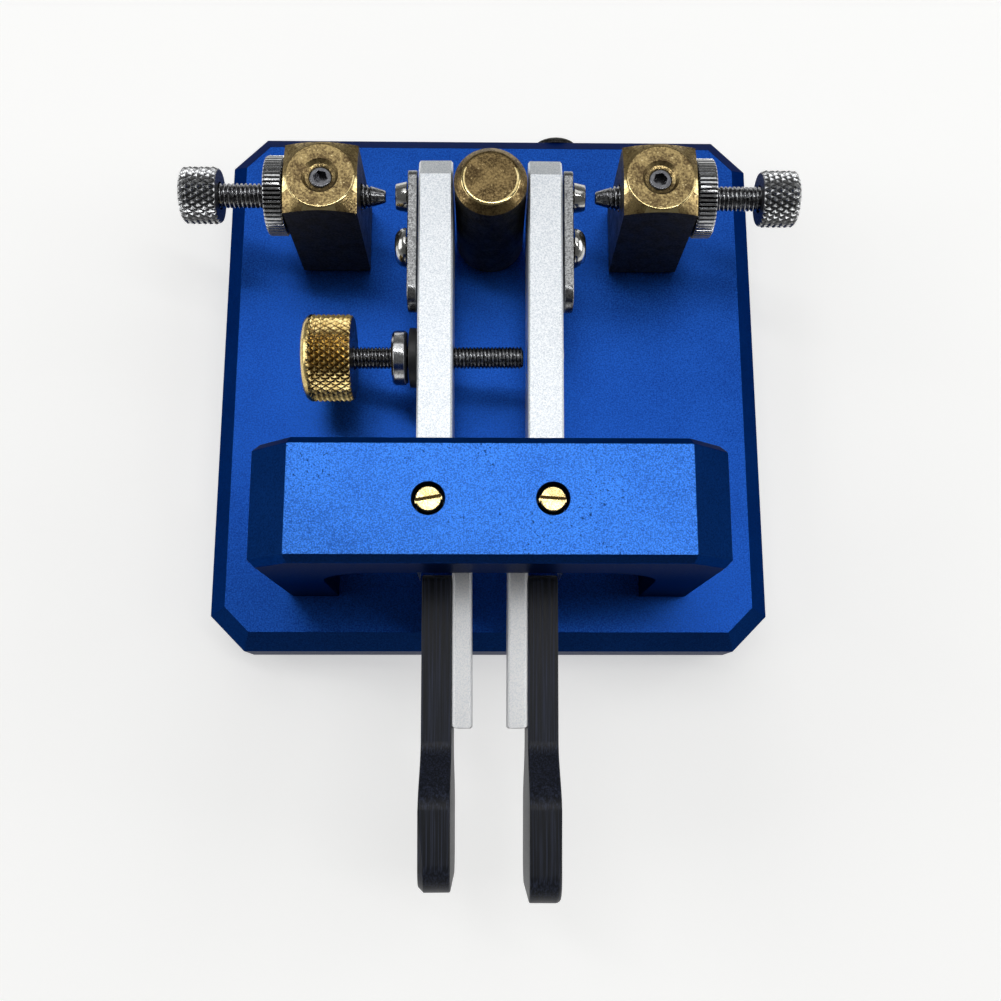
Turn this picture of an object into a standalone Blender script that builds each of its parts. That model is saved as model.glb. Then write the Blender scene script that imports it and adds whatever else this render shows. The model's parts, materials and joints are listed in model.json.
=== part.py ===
# Double paddle morse key: a blue aluminium base with a bridge, two pivoted paddle
# arms, a round rest post, two square contact posts with adjusting screws, and a
# magnetic return whose pull is set by a knurled screw.
# Units are metres. X runs to the right, Y to the rear, Z up. The desk is at Z = 0.

import math

import bmesh
import bpy
from mathutils import Matrix
from mathutils import Vector

for old_object in list(bpy.data.objects):
    bpy.data.objects.remove(old_object, do_unlink=True)

# Clearances and counts shared by all pieces
SEAT_GAP = 0.0002          # between pieces that are screwed together
RUN_GAP = 0.0003           # beside a piece that moves
THREAD_GAP = 0.0002        # around a screw in its hole
CUT_OVERRUN = 0.0010       # how far a cutter runs past the face it opens
MERGE_DISTANCE = 0.000001
ROUND_SIDES = 24
SMALL_SIDES = 12
HEX_SIDES = 6
LEAD_SIDES = 8
SIDES = (("left", -1), ("right", 1))
ENDS = (("front", -1), ("rear", 1))

# Base plate
BASE_SIDE = 0.0800
BASE_THICKNESS = 0.0100
BASE_CORNER_CUT = 0.0050
BASE_TOP_BEVEL = 0.0025
BASE_LOWER_BEVEL = 0.0005
FOOT_HEIGHT = 0.0025
FOOT_RADIUS = 0.0045
FOOT_DRAFT = 0.0005
FOOT_INSET = 0.0070        # from the base's side to the foot's centre

# Bridge
BRIDGE_LENGTH = 0.0575
BRIDGE_DEPTH = 0.0150
BRIDGE_HEIGHT = 0.0320
BRIDGE_END_CUT_X = 0.0049
BRIDGE_END_CUT_Z = 0.0042
BRIDGE_EDGE_BEVEL = 0.0009
WINDOW_WIDTH = 0.0426
WINDOW_HEIGHT = 0.0235
WINDOW_CORNER_RADIUS = 0.0080
WINDOW_CORNER_STEPS = 7

# Paddle pivots
PIVOT_X = 0.00725
PIVOT_Y = -0.0249
PIVOT_SCREW_RADIUS = 0.00175
PIVOT_CONE_LENGTH = 0.0030
PIVOT_CUP_RADIUS = 0.0015
PIVOT_CUP_DEPTH = 0.0012
PIVOT_SLOT_WIDTH = 0.0006
PIVOT_SLOT_DEPTH = 0.0010
PIVOT_SCREW_CHAMFER = 0.00025
PIVOT_TOP_RECESS = 0.0002
PIVOT_LOWER_RECESS = 0.0006
LEFT_SLOT_TURN = math.radians(10)
RIGHT_SLOT_TURN = math.radians(-4)

# Paddle arms
ARM_WIDTH = 0.0047
ARM_HEIGHT = 0.0120
ARM_TOP = 0.0175           # above the base's top face
ARM_REAR_REACH = 0.0515    # from the pivot back
ARM_FRONT_REACH = 0.0063   # from the pivot forward
ARM_REAR_SLOPE_LENGTH = 0.0028
ARM_REAR_SLOPE_DROP = 0.0016
ARM_EDGE_BEVEL = 0.00025

# Carrier strips and finger plates
CARRIER_THICKNESS = 0.0023
CARRIER_REAR_REACH = 0.0068
CARRIER_END_MARGIN = 0.0039    # beyond the front finger screw's axis
CARRIER_EDGE_BEVEL = 0.00025
CARRIER_SCREW_RADIUS = 0.0010
CARRIER_SCREW_HEAD_RADIUS = 0.0019
CARRIER_SCREW_HEAD_LENGTH = 0.0010
CARRIER_SCREW_LENGTH = 0.0045
CARRIER_SCREW_PLACE = 0.0042   # either side of the pivot
PLATE_THICKNESS = 0.0036
PLATE_GAP = 0.0004
PLATE_REAR_GAP = 0.0005
LEFT_PLATE_REACH = 0.0450      # from the pivot to the front end
RIGHT_PLATE_REACH = 0.0462
PLATE_FLARE_START = 0.0275
PLATE_FLARE_END = 0.0355
PLATE_FLARE_RISE = 0.0058
PLATE_CORNER_RADIUS = 0.0035
PLATE_TAB_RADIUS = 0.0010
PLATE_EDGE_BEVEL = 0.00025
PLATE_FLARE_STEPS = 6
PLATE_CORNER_STEPS = 4
PLATE_TAB_STEPS = 2
FINGER_SCREW_RADIUS = 0.00125
FINGER_SCREW_HEAD_RADIUS = 0.0022
FINGER_SCREW_HEAD_LENGTH = 0.0013
FINGER_SCREW_REAR_REACH = 0.0131
FINGER_SCREW_FRONT_REACH = 0.0221

# Posts behind the arms
POST_Y = 0.0219
CENTRE_POST_RADIUS = 0.0050
CENTRE_POST_HEIGHT = 0.0200
CENTRE_POST_CHAMFER = 0.0010
ARM_REST_GAP = 0.0002
CONTACT_POST_X = 0.0230
CONTACT_POST_SIDE = 0.0100
CONTACT_POST_HEIGHT = 0.0204
CONTACT_POST_DISC_RADIUS = 0.00475
CONTACT_POST_SLOPE = math.radians(25)
CONTACT_POST_LIFT = 0.0005     # held clear of the base by its bush
SCREW_AXIS_HEIGHT = 0.0143

# Contact screws, their knobs and lock nuts. Distances are from the middle plane.
CONTACT_SCREW_RADIUS = 0.00175
CONTACT_TIP_RADIUS = 0.0012
CONTACT_TIP_LENGTH = 0.0026
CONTACT_TIP_DISTANCE = 0.0146
CONTACT_KNOB_RADIUS = 0.0039
CONTACT_KNOB_DISTANCE = 0.03765
CONTACT_KNOB_LENGTH = 0.0052
CONTACT_KNOB_SHOULDER = 0.0002
CONTACT_KNOB_RIM = 0.0003
CONTACT_KNOB_BORE_DEPTH = 0.0035
CONTACT_KNOB_DIAMONDS = 22
CONTACT_KNOB_ROWS = 6
LOCK_NUT_RADIUS = 0.0055
LOCK_NUT_LENGTH = 0.0026
LOCK_NUT_TEETH = 48
LOCK_NUT_EDGE = 0.0004
KNURL_DEPTH = 0.00028
SET_SCREW_RADIUS = 0.0020
SET_SCREW_LENGTH = 0.0034
SET_SCREW_SOCKET = 0.0010      # half the width across the flats
SET_SCREW_SOCKET_DEPTH = 0.0015
SET_SCREW_CHAMFER = 0.0003
SET_HOLE_MOUTH_RADIUS = 0.0026

# Contact strips, pins and strip screws on the arms
STRIP_THICKNESS = 0.0013
STRIP_HEIGHT = 0.0056
STRIP_FRONT_REACH = 0.0299     # from the pivot to the round front end
STRIP_REAR_REACH = 0.0499
STRIP_REAR_RADIUS = 0.0013
STRIP_CORNER_STEPS = 3
STRIP_ROUND_STEPS = 8
PIN_BASE_RADIUS = 0.0021
PIN_TIP_RADIUS = 0.00175
PIN_LENGTH = 0.0018
PIN_RIVET_RADIUS = 0.0010
STRIP_SCREW_REACH = 0.0392
STRIP_SCREW_RADIUS = 0.0015
STRIP_SCREW_HEAD_RADIUS = 0.00275
STRIP_SCREW_HEAD_LENGTH = 0.0016
STRIP_SCREW_FLAT_RADIUS = 0.0014
STRIP_SCREW_LENGTH = 0.0042
STRIP_SOCKET = 0.0010
STRIP_SOCKET_DEPTH = 0.0009

# Tension screw. Distances are from the left arm's middle plane, outward.
TENSION_REACH = 0.02415        # behind the pivot
TENSION_ROD_RADIUS = 0.0015
TENSION_KNOB_RADIUS = 0.0060
TENSION_KNOB_DISTANCE = 0.0114
TENSION_KNOB_LENGTH = 0.0067
TENSION_KNOB_RIM = 0.0010
TENSION_KNOB_SHOULDER = 0.0002
TENSION_KNOB_BORE_DEPTH = 0.0045
TENSION_KNOB_DIAMONDS = 36
TENSION_KNOB_ROWS = 8
TENSION_COLLAR_RADIUS = 0.00375
TENSION_COLLAR_LENGTH = 0.0021
TENSION_COLLAR_CHAMFER = 0.0003
TENSION_WASHER_RADIUS = 0.0041
TENSION_WASHER_THICKNESS = 0.0011
MAGNET_RADIUS = 0.0025
MAGNET_STAND_OUT = 0.0003
MAGNET_AIR_GAP = 0.0005
MAGNET_CHAMFER = 0.0003

# Fasteners and insulators from below
LARGE_SCREW_RADIUS = 0.0020
LARGE_HEAD_RADIUS = 0.0035
LARGE_HEAD_LENGTH = 0.0035
LARGE_SOCKET = 0.0015
LARGE_SOCKET_DEPTH = 0.0020
LARGE_SCREW_REACH = 0.0080     # into the post or leg above the base's top
HEAD_POCKET_RADIUS = 0.0038
HEAD_POCKET_DEPTH = 0.0050
SMALL_SCREW_RADIUS = 0.0015
SMALL_HEAD_RADIUS = 0.00275
SMALL_HEAD_LENGTH = 0.0020
SMALL_SLOT_WIDTH = 0.0008
SMALL_SLOT_DEPTH = 0.0010
SMALL_SCREW_REACH = 0.0070
BUSH_FLANGE_RADIUS = 0.0043
BUSH_FLANGE_SINK = 0.0006
BUSH_SLEEVE_RADIUS = 0.0025
WASHER_RADIUS = 0.0035
WASHER_THICKNESS = 0.0009

# Jack and inner leads
JACK_X = 0.0105
JACK_AXIS_DEPTH = 0.0064       # below the base's top face
JACK_WALL = 0.0020             # base material between the bay and the rear face
JACK_BODY_WIDTH = 0.0080
JACK_BODY_LENGTH = 0.0080
JACK_BODY_HEIGHT = 0.0066
JACK_BARREL_RADIUS = 0.0029
JACK_BARREL_STAND_OUT = 0.0014
JACK_BORE_RADIUS = 0.0018
JACK_BORE_DEPTH = 0.0110
JACK_NUT_RADIUS = 0.0037
JACK_NUT_LENGTH = 0.0011
JACK_NUT_CHAMFER = 0.0004
JACK_NUT_NOTCH_WIDTH = 0.0010
JACK_NUT_NOTCH_DEPTH = 0.0005
BAY_CLEARANCE = 0.0006
TERMINAL_WIDTH = 0.0012
TERMINAL_THICKNESS = 0.0004
TERMINAL_LENGTH = 0.0020
TERMINAL_SPACING = 0.0028
LEAD_RADIUS = 0.0006
LEAD_CURVE_STEPS = 3
CHANNEL_WIDTH = 0.0026
CHANNEL_DEPTH = 0.0032
CHANNEL_RUN_Y = 0.0280

# Places worked out from the values above
BASE_TOP = FOOT_HEIGHT + BASE_THICKNESS
BASE_UNDERSIDE = FOOT_HEIGHT
REST_TURN = math.asin(
    (CENTRE_POST_RADIUS + ARM_REST_GAP + ARM_WIDTH / 2 - PIVOT_X) / (POST_Y - PIVOT_Y)
)
ARM_MIDDLE_HEIGHT = ARM_TOP - ARM_HEIGHT / 2
ARM_BOTTOM = ARM_TOP - ARM_HEIGHT
CARRIER_FRONT_REACH = FINGER_SCREW_FRONT_REACH + CARRIER_END_MARGIN
LEG_MIDDLE_X = (BRIDGE_LENGTH + WINDOW_WIDTH) / 4
REAR_REACH = BASE_SIDE / 2 + JACK_BARREL_STAND_OUT
PADDLE_REACH = RIGHT_PLATE_REACH * math.cos(REST_TURN) - PIVOT_Y
FRAME_SHIFT_Y = (PADDLE_REACH - REAR_REACH) / 2
CONTACT_REACH = (POST_Y - PIVOT_Y) / math.cos(REST_TURN)


# Materials, each with its colour, roughness and metallic share
FINISH_SHARES = {
    "blue_anodised": ((0.010, 0.050, 0.300), 0.45, 0.85),
    "clear_anodised": ((0.720, 0.740, 0.760), 0.45, 0.90),
    "brass": ((0.450, 0.330, 0.110), 0.35, 1.00),
    "steel": ((0.400, 0.400, 0.410), 0.35, 1.00),
    "nickel": ((0.620, 0.610, 0.590), 0.25, 1.00),
    "black_plastic": ((0.012, 0.014, 0.018), 0.40, 0.00),
    "black_steel": ((0.050, 0.050, 0.055), 0.40, 0.90),
    "fibre": ((0.200, 0.060, 0.030), 0.70, 0.00),
    "rubber": ((0.020, 0.020, 0.020), 0.85, 0.00),
    "red_lead": ((0.450, 0.020, 0.015), 0.50, 0.00),
    "black_lead": ((0.015, 0.015, 0.015), 0.50, 0.00),
    "yellow_lead": ((0.600, 0.380, 0.020), 0.50, 0.00),
}


def finish(name):
    made = bpy.data.materials.get(name)
    if made:
        return made
    colour, roughness, metallic = FINISH_SHARES[name]
    made = bpy.data.materials.new(name)
    made.use_nodes = True
    shader = made.node_tree.nodes["Principled BSDF"]
    shader.inputs["Base Color"].default_value = (*colour, 1.0)
    shader.inputs["Roughness"].default_value = roughness
    shader.inputs["Metallic"].default_value = metallic
    made.diffuse_color = (*colour, 1.0)
    return made


# Helpers that turn profiles and outlines into solids

def mesh_from(bm, name):
    bmesh.ops.remove_doubles(bm, verts=bm.verts, dist=MERGE_DISTANCE)
    bmesh.ops.recalc_face_normals(bm, faces=bm.faces)
    mesh = bpy.data.meshes.new(name)
    bm.to_mesh(mesh)
    bm.free()
    return mesh


def place(name, mesh, finish_name, parent, location=(0, 0, 0), rotation=(0, 0, 0), smooth=False):
    piece = bpy.data.objects.new(name, mesh)
    bpy.context.collection.objects.link(piece)
    piece.parent = parent
    piece.location = location
    piece.rotation_euler = rotation
    mesh.materials.append(finish(finish_name))
    if smooth:
        mesh.shade_smooth()
        mesh.set_sharp_from_angle(angle=math.radians(40))
    return piece


def turned(name, profile, sides=ROUND_SIDES):
    # A lathe-turned solid about Z. The profile lists (radius, height) points.
    # It closes on the axis, or around a bore when no point touches the axis.
    bm = bmesh.new()
    verts = [bm.verts.new((radius, 0, height)) for radius, height in profile]
    edges = [bm.edges.new(pair) for pair in zip(verts, verts[1:])]
    if profile[0][0] > 0:
        edges.append(bm.edges.new((verts[-1], verts[0])))
    bmesh.ops.spin(
        bm, geom=verts + edges, cent=(0, 0, 0), axis=(0, 0, 1),
        angle=2 * math.pi, steps=sides, use_merge=True,
    )
    return mesh_from(bm, name)


def prism_bmesh(outline, thickness, plane):
    # An outline pushed out along the third axis, centred on it.
    bm = bmesh.new()
    half = thickness / 2
    if plane == "XY":
        low = [bm.verts.new((a, b, -half)) for a, b in outline]
        push = Vector((0, 0, thickness))
    elif plane == "XZ":
        low = [bm.verts.new((a, -half, b)) for a, b in outline]
        push = Vector((0, thickness, 0))
    else:
        low = [bm.verts.new((-half, a, b)) for a, b in outline]
        push = Vector((thickness, 0, 0))
    high = [bm.verts.new(vert.co + push) for vert in low]
    bm.faces.new(low)
    bm.faces.new(high)
    count = len(low)
    for index in range(count):
        following = (index + 1) % count
        bm.faces.new((low[index], low[following], high[following], high[index]))
    bmesh.ops.recalc_face_normals(bm, faces=bm.faces)
    return bm


def bevel_where(bm, width, keep):
    # Flat bevels on the edges whose two ends pass the test.
    edges = [edge for edge in bm.edges if keep(edge.verts[0].co) and keep(edge.verts[1].co)]
    bmesh.ops.bevel(bm, geom=edges, offset=width, offset_type="OFFSET", segments=1, affect="EDGES")


def arc(centre, radius, start, end, steps):
    # Points of an arc from one angle to another, in degrees.
    points = []
    for step in range(steps + 1):
        angle = math.radians(start + (end - start) * step / steps)
        points.append((centre[0] + radius * math.cos(angle), centre[1] + radius * math.sin(angle)))
    return points


def hide_cutter(cutter, target):
    cutter.parent = target
    cutter.hide_render = True
    cutter.display_type = "WIRE"
    modifier = target.modifiers.new(cutter.name, "BOOLEAN")
    modifier.operation = "DIFFERENCE"
    modifier.solver = "EXACT"
    modifier.object = cutter


def drill(target, radius, start, end, far_radius=None, sides=ROUND_SIDES):
    # A round, conical or many-sided hole from one point to another.
    line = Vector(end) - Vector(start)
    bm = bmesh.new()
    bmesh.ops.create_cone(
        bm, cap_ends=True, segments=sides, radius1=radius,
        radius2=radius if far_radius is None else far_radius, depth=line.length,
    )
    mesh = mesh_from(bm, target.name + "_cutter")
    cutter = bpy.data.objects.new(target.name + "_cutter", mesh)
    bpy.context.collection.objects.link(cutter)
    aim = line.to_track_quat("Z", "Y").to_matrix().to_4x4()
    middle = Matrix.Translation((Vector(start) + Vector(end)) / 2)
    mesh.transform(middle @ aim)
    hide_cutter(cutter, target)


def mill(target, low, high, turn=0.0):
    # A rectangular cut between two corners, turned about Z through its middle.
    middle = (Vector(low) + Vector(high)) / 2
    size = Vector(high) - Vector(low)
    bm = bmesh.new()
    bmesh.ops.create_cube(bm, size=1.0)
    mesh = mesh_from(bm, target.name + "_cutter")
    cutter = bpy.data.objects.new(target.name + "_cutter", mesh)
    bpy.context.collection.objects.link(cutter)
    stretch = Matrix.Diagonal((*size, 1.0))
    mesh.transform(Matrix.Translation(middle) @ Matrix.Rotation(turn, 4, "Z") @ stretch)
    hide_cutter(cutter, target)


def hex_radius(half_flats):
    return half_flats / math.cos(math.pi / HEX_SIDES)


def knurled_knob(name, radius, length, rim, shoulder, bore, bore_depth, diamonds, rows):
    # A turned knob whose barrel carries crossed helical grooves. Peaks and valleys
    # alternate around and along the barrel, and each small quad is split along its
    # two valleys, which leaves one pyramid a diamond. Heights run outward from the
    # inner face: a sloping shoulder, the knurl, then a rim.
    bm = bmesh.new()
    columns = 2 * diamonds
    valley = radius - KNURL_DEPTH
    rings = []

    def add_ring(ring_radii, height):
        ring = []
        for column in range(columns):
            angle = 2 * math.pi * column / columns
            reach = ring_radii[column % 2]
            ring.append(bm.verts.new((reach * math.cos(angle), reach * math.sin(angle), height)))
        rings.append(ring)

    add_ring((bore, bore), bore_depth)
    add_ring((bore, bore), 0)
    add_ring((valley - shoulder, valley - shoulder), 0)
    knurl_length = length - rim - shoulder
    for row in range(rows + 1):
        radii = (radius, valley) if row % 2 else (valley, radius)
        add_ring(radii, shoulder + knurl_length * row / rows)
    first_row = len(rings) - rows - 1
    # The rim is rounded in two steps.
    turn = math.pi / 4
    middle = valley - rim * (1 - math.cos(turn))
    add_ring((middle, middle), length - rim * (1 - math.sin(turn)))
    add_ring((valley - rim, valley - rim), length)
    bm.faces.new(rings[0])
    bm.faces.new(rings[-1])
    for index, (lower, upper) in enumerate(zip(rings, rings[1:])):
        in_knurl = first_row <= index < first_row + rows
        for column in range(columns):
            following = (column + 1) % columns
            quad = (lower[column], lower[following], upper[following], upper[column])
            if not in_knurl:
                bm.faces.new(quad)
                continue
            row = index - first_row
            valley_at_column = (row + column) % 2 == 0
            if valley_at_column:
                bm.faces.new((quad[0], quad[1], quad[2]))
                bm.faces.new((quad[0], quad[2], quad[3]))
            else:
                bm.faces.new((quad[0], quad[1], quad[3]))
                bm.faces.new((quad[1], quad[2], quad[3]))
    return mesh_from(bm, name)


def toothed_nut(name, radius, length, edge, bore, teeth):
    # A ring with a straight knurl and a chamfer at both ends.
    bm = bmesh.new()
    columns = 2 * teeth
    levels = (
        (bore, bore, 0),
        (radius - edge - KNURL_DEPTH, radius - edge - KNURL_DEPTH, 0),
        (radius, radius - KNURL_DEPTH, edge),
        (radius, radius - KNURL_DEPTH, length - edge),
        (radius - edge - KNURL_DEPTH, radius - edge - KNURL_DEPTH, length),
        (bore, bore, length),
    )
    rings = []
    for peak, valley, height in levels:
        ring = []
        for column in range(columns):
            angle = 2 * math.pi * column / columns
            reach = valley if column % 2 else peak
            ring.append(bm.verts.new((reach * math.cos(angle), reach * math.sin(angle), height)))
        rings.append(ring)
    for lower, upper in zip(rings, rings[1:] + rings[:1]):
        for column in range(columns):
            following = (column + 1) % columns
            bm.faces.new((lower[column], lower[following], upper[following], upper[column]))
    return mesh_from(bm, name)


def outward(side):
    # Turns a piece built along Z so that it points away from the middle plane.
    return (0, side * math.pi / 2, 0)


def make_frame():
    # The frame's origin lies on the desk, under the middle of the whole key.
    frame = bpy.data.objects.new("key_frame", None)
    bpy.context.collection.objects.link(frame)
    frame.location = (0, FRAME_SHIFT_Y, 0)
    return frame


def post_places():
    return [(side * CONTACT_POST_X, POST_Y) for _, side in SIDES]


def make_base(frame):
    half = BASE_SIDE / 2
    near = half - BASE_CORNER_CUT
    outline = [
        (-near, -half), (near, -half), (half, -near), (half, near),
        (near, half), (-near, half), (-half, near), (-half, -near),
    ]
    bm = prism_bmesh(outline, BASE_THICKNESS, "XY")
    bevel_where(bm, BASE_TOP_BEVEL, lambda co: co.z > 0)
    lowest = -BASE_THICKNESS / 2 + MERGE_DISTANCE
    bevel_where(bm, BASE_LOWER_BEVEL, lambda co: co.z < lowest)
    mesh = mesh_from(bm, "base")
    mesh.transform(Matrix.Translation((0, 0, BASE_TOP - BASE_THICKNESS / 2)))
    base = place("base", mesh, "blue_anodised", frame)
    under = BASE_UNDERSIDE - CUT_OVERRUN
    over = BASE_TOP + CUT_OVERRUN
    pocket_roof = BASE_UNDERSIDE + HEAD_POCKET_DEPTH
    channel_roof = BASE_UNDERSIDE + CHANNEL_DEPTH

    bay_half = JACK_BODY_WIDTH / 2 + BAY_CLEARANCE
    bay_rear = half - JACK_WALL
    bay_front = POST_Y - CHANNEL_WIDTH / 2
    bay_roof = BASE_TOP - JACK_AXIS_DEPTH + JACK_BODY_HEIGHT / 2 + BAY_CLEARANCE
    mill(base, (JACK_X - bay_half, bay_front, under), (JACK_X + bay_half, bay_rear, bay_roof))
    jack_height = BASE_TOP - JACK_AXIS_DEPTH
    drill(
        base, JACK_BARREL_RADIUS + THREAD_GAP,
        (JACK_X, bay_rear - CUT_OVERRUN, jack_height), (JACK_X, half + CUT_OVERRUN, jack_height),
    )
    run_low = CHANNEL_RUN_Y - CHANNEL_WIDTH / 2
    run_high = CHANNEL_RUN_Y + CHANNEL_WIDTH / 2
    run_end = CONTACT_POST_X + CHANNEL_WIDTH / 2
    mill(base, (-run_end, run_low, under), (run_end, run_high, channel_roof))
    for x, y in post_places():
        mill(base, (x - CHANNEL_WIDTH / 2, y, under), (x + CHANNEL_WIDTH / 2, run_high, pocket_roof))
    mill(base, (0, bay_front, under), (JACK_X, bay_front + CHANNEL_WIDTH, pocket_roof))

    for x, y in post_places():
        drill(base, HEAD_POCKET_RADIUS, (x, y, under), (x, y, pocket_roof))
        drill(
            base, BUSH_SLEEVE_RADIUS + THREAD_GAP, (x, y, under), (x, y, over), sides=SMALL_SIDES,
        )
        sink = BASE_TOP - BUSH_FLANGE_SINK - SEAT_GAP
        drill(base, BUSH_FLANGE_RADIUS + SEAT_GAP, (x, y, sink), (x, y, over))
    bolted = [(0, POST_Y), (-LEG_MIDDLE_X, PIVOT_Y), (LEG_MIDDLE_X, PIVOT_Y)]
    for x, y in bolted:
        drill(base, HEAD_POCKET_RADIUS, (x, y, under), (x, y, pocket_roof))
        drill(
            base, LARGE_SCREW_RADIUS + THREAD_GAP, (x, y, under), (x, y, over), sides=SMALL_SIDES,
        )
    for _, side in SIDES:
        x = side * PIVOT_X
        drill(
            base, PIVOT_SCREW_RADIUS + THREAD_GAP, (x, PIVOT_Y, under), (x, PIVOT_Y, over),
            sides=SMALL_SIDES,
        )
    return base


def make_feet(frame):
    place_out = BASE_SIDE / 2 - FOOT_INSET
    for name, side in SIDES:
        for end_name, end in ENDS:
            place(f"{end_name}_{name}_foot", turned("foot", [
                (0, 0),
                (FOOT_RADIUS - FOOT_DRAFT, 0),
                (FOOT_RADIUS, FOOT_HEIGHT - SEAT_GAP),
                (0, FOOT_HEIGHT - SEAT_GAP),
            ]), "rubber", frame, (side * place_out, end * place_out, 0), smooth=True)


def make_bridge(frame):
    half = BRIDGE_LENGTH / 2
    top_half = half - BRIDGE_END_CUT_X
    cut_low = BRIDGE_HEIGHT - BRIDGE_END_CUT_Z
    window_half = WINDOW_WIDTH / 2
    corner_x = window_half - WINDOW_CORNER_RADIUS
    corner_z = WINDOW_HEIGHT - WINDOW_CORNER_RADIUS
    outer = [
        (-half, SEAT_GAP), (-half, cut_low), (-top_half, BRIDGE_HEIGHT),
        (top_half, BRIDGE_HEIGHT), (half, cut_low), (half, SEAT_GAP),
    ]
    window = [(window_half, SEAT_GAP)]
    window += arc((corner_x, corner_z), WINDOW_CORNER_RADIUS, 0, 90, WINDOW_CORNER_STEPS)
    window += arc((-corner_x, corner_z), WINDOW_CORNER_RADIUS, 90, 180, WINDOW_CORNER_STEPS)
    window += [(-window_half, SEAT_GAP)]
    bm = prism_bmesh(outer + window, BRIDGE_DEPTH, "XZ")

    def on_outer_rim(co):
        at_side = abs(abs(co.x) - half) < MERGE_DISTANCE
        return at_side or co.z > cut_low - MERGE_DISTANCE

    rim = []
    for edge in bm.edges:
        first, second = edge.verts[0].co, edge.verts[1].co
        flat = abs(first.y - second.y) < MERGE_DISTANCE
        if flat and on_outer_rim(first) and on_outer_rim(second):
            rim.append(edge)
    bmesh.ops.bevel(
        bm, geom=rim, offset=BRIDGE_EDGE_BEVEL, offset_type="OFFSET", segments=1, affect="EDGES",
    )
    bridge = place("bridge", mesh_from(bm, "bridge"), "blue_anodised", frame, (0, PIVOT_Y, BASE_TOP))
    for _, side in SIDES:
        x = side * PIVOT_X
        drill(
            bridge, PIVOT_SCREW_RADIUS + THREAD_GAP,
            (x, 0, WINDOW_HEIGHT - CUT_OVERRUN), (x, 0, BRIDGE_HEIGHT + CUT_OVERRUN),
        )
        leg = side * LEG_MIDDLE_X
        drill(
            bridge, LARGE_SCREW_RADIUS + THREAD_GAP,
            (leg, 0, -CUT_OVERRUN), (leg, 0, LARGE_SCREW_REACH + THREAD_GAP),
        )


def make_pivot_screw(frame, name, length, location, rotation, slot_turn):
    # The slotted end lies at height zero and the cone's tip at the far end.
    screw = place(name, turned("pivot_screw", [
        (0, 0),
        (PIVOT_SCREW_RADIUS - PIVOT_SCREW_CHAMFER, 0),
        (PIVOT_SCREW_RADIUS, PIVOT_SCREW_CHAMFER),
        (PIVOT_SCREW_RADIUS, length - PIVOT_CONE_LENGTH),
        (0, length),
    ], SMALL_SIDES), "brass", frame, location, rotation, smooth=True)
    reach = PIVOT_SCREW_RADIUS + CUT_OVERRUN
    half = PIVOT_SLOT_WIDTH / 2
    mill(screw, (-reach, -half, -CUT_OVERRUN), (reach, half, PIVOT_SLOT_DEPTH), slot_turn)


def make_pivot_screws(frame):
    tip_into_cup = PIVOT_CUP_DEPTH - SEAT_GAP
    upper_end = BRIDGE_HEIGHT - PIVOT_TOP_RECESS
    upper_length = upper_end - (ARM_TOP - tip_into_cup)
    lower_end = BASE_UNDERSIDE + PIVOT_LOWER_RECESS
    lower_length = BASE_TOP + ARM_BOTTOM + tip_into_cup - lower_end
    slot_turns = {"left": LEFT_SLOT_TURN, "right": RIGHT_SLOT_TURN}
    upside_down = (math.pi, 0, 0)
    for name, side in SIDES:
        x = side * PIVOT_X
        make_pivot_screw(
            frame, name + "_upper_pivot_screw", upper_length, (x, PIVOT_Y, BASE_TOP + upper_end),
            upside_down, -slot_turns[name],
        )
        make_pivot_screw(
            frame, name + "_lower_pivot_screw", lower_length, (x, PIVOT_Y, lower_end), (0, 0, 0),
            slot_turns[name],
        )


def make_centre_post(frame):
    radius = CENTRE_POST_RADIUS
    post = place("centre_post", turned("centre_post", [
        (0, SEAT_GAP),
        (radius, SEAT_GAP),
        (radius, CENTRE_POST_HEIGHT - CENTRE_POST_CHAMFER),
        (radius - CENTRE_POST_CHAMFER, CENTRE_POST_HEIGHT),
        (0, CENTRE_POST_HEIGHT),
    ]), "brass", frame, (0, POST_Y, BASE_TOP), smooth=True)
    drill(
        post, LARGE_SCREW_RADIUS + THREAD_GAP,
        (0, 0, -CUT_OVERRUN), (0, 0, LARGE_SCREW_REACH + THREAD_GAP),
    )


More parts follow.
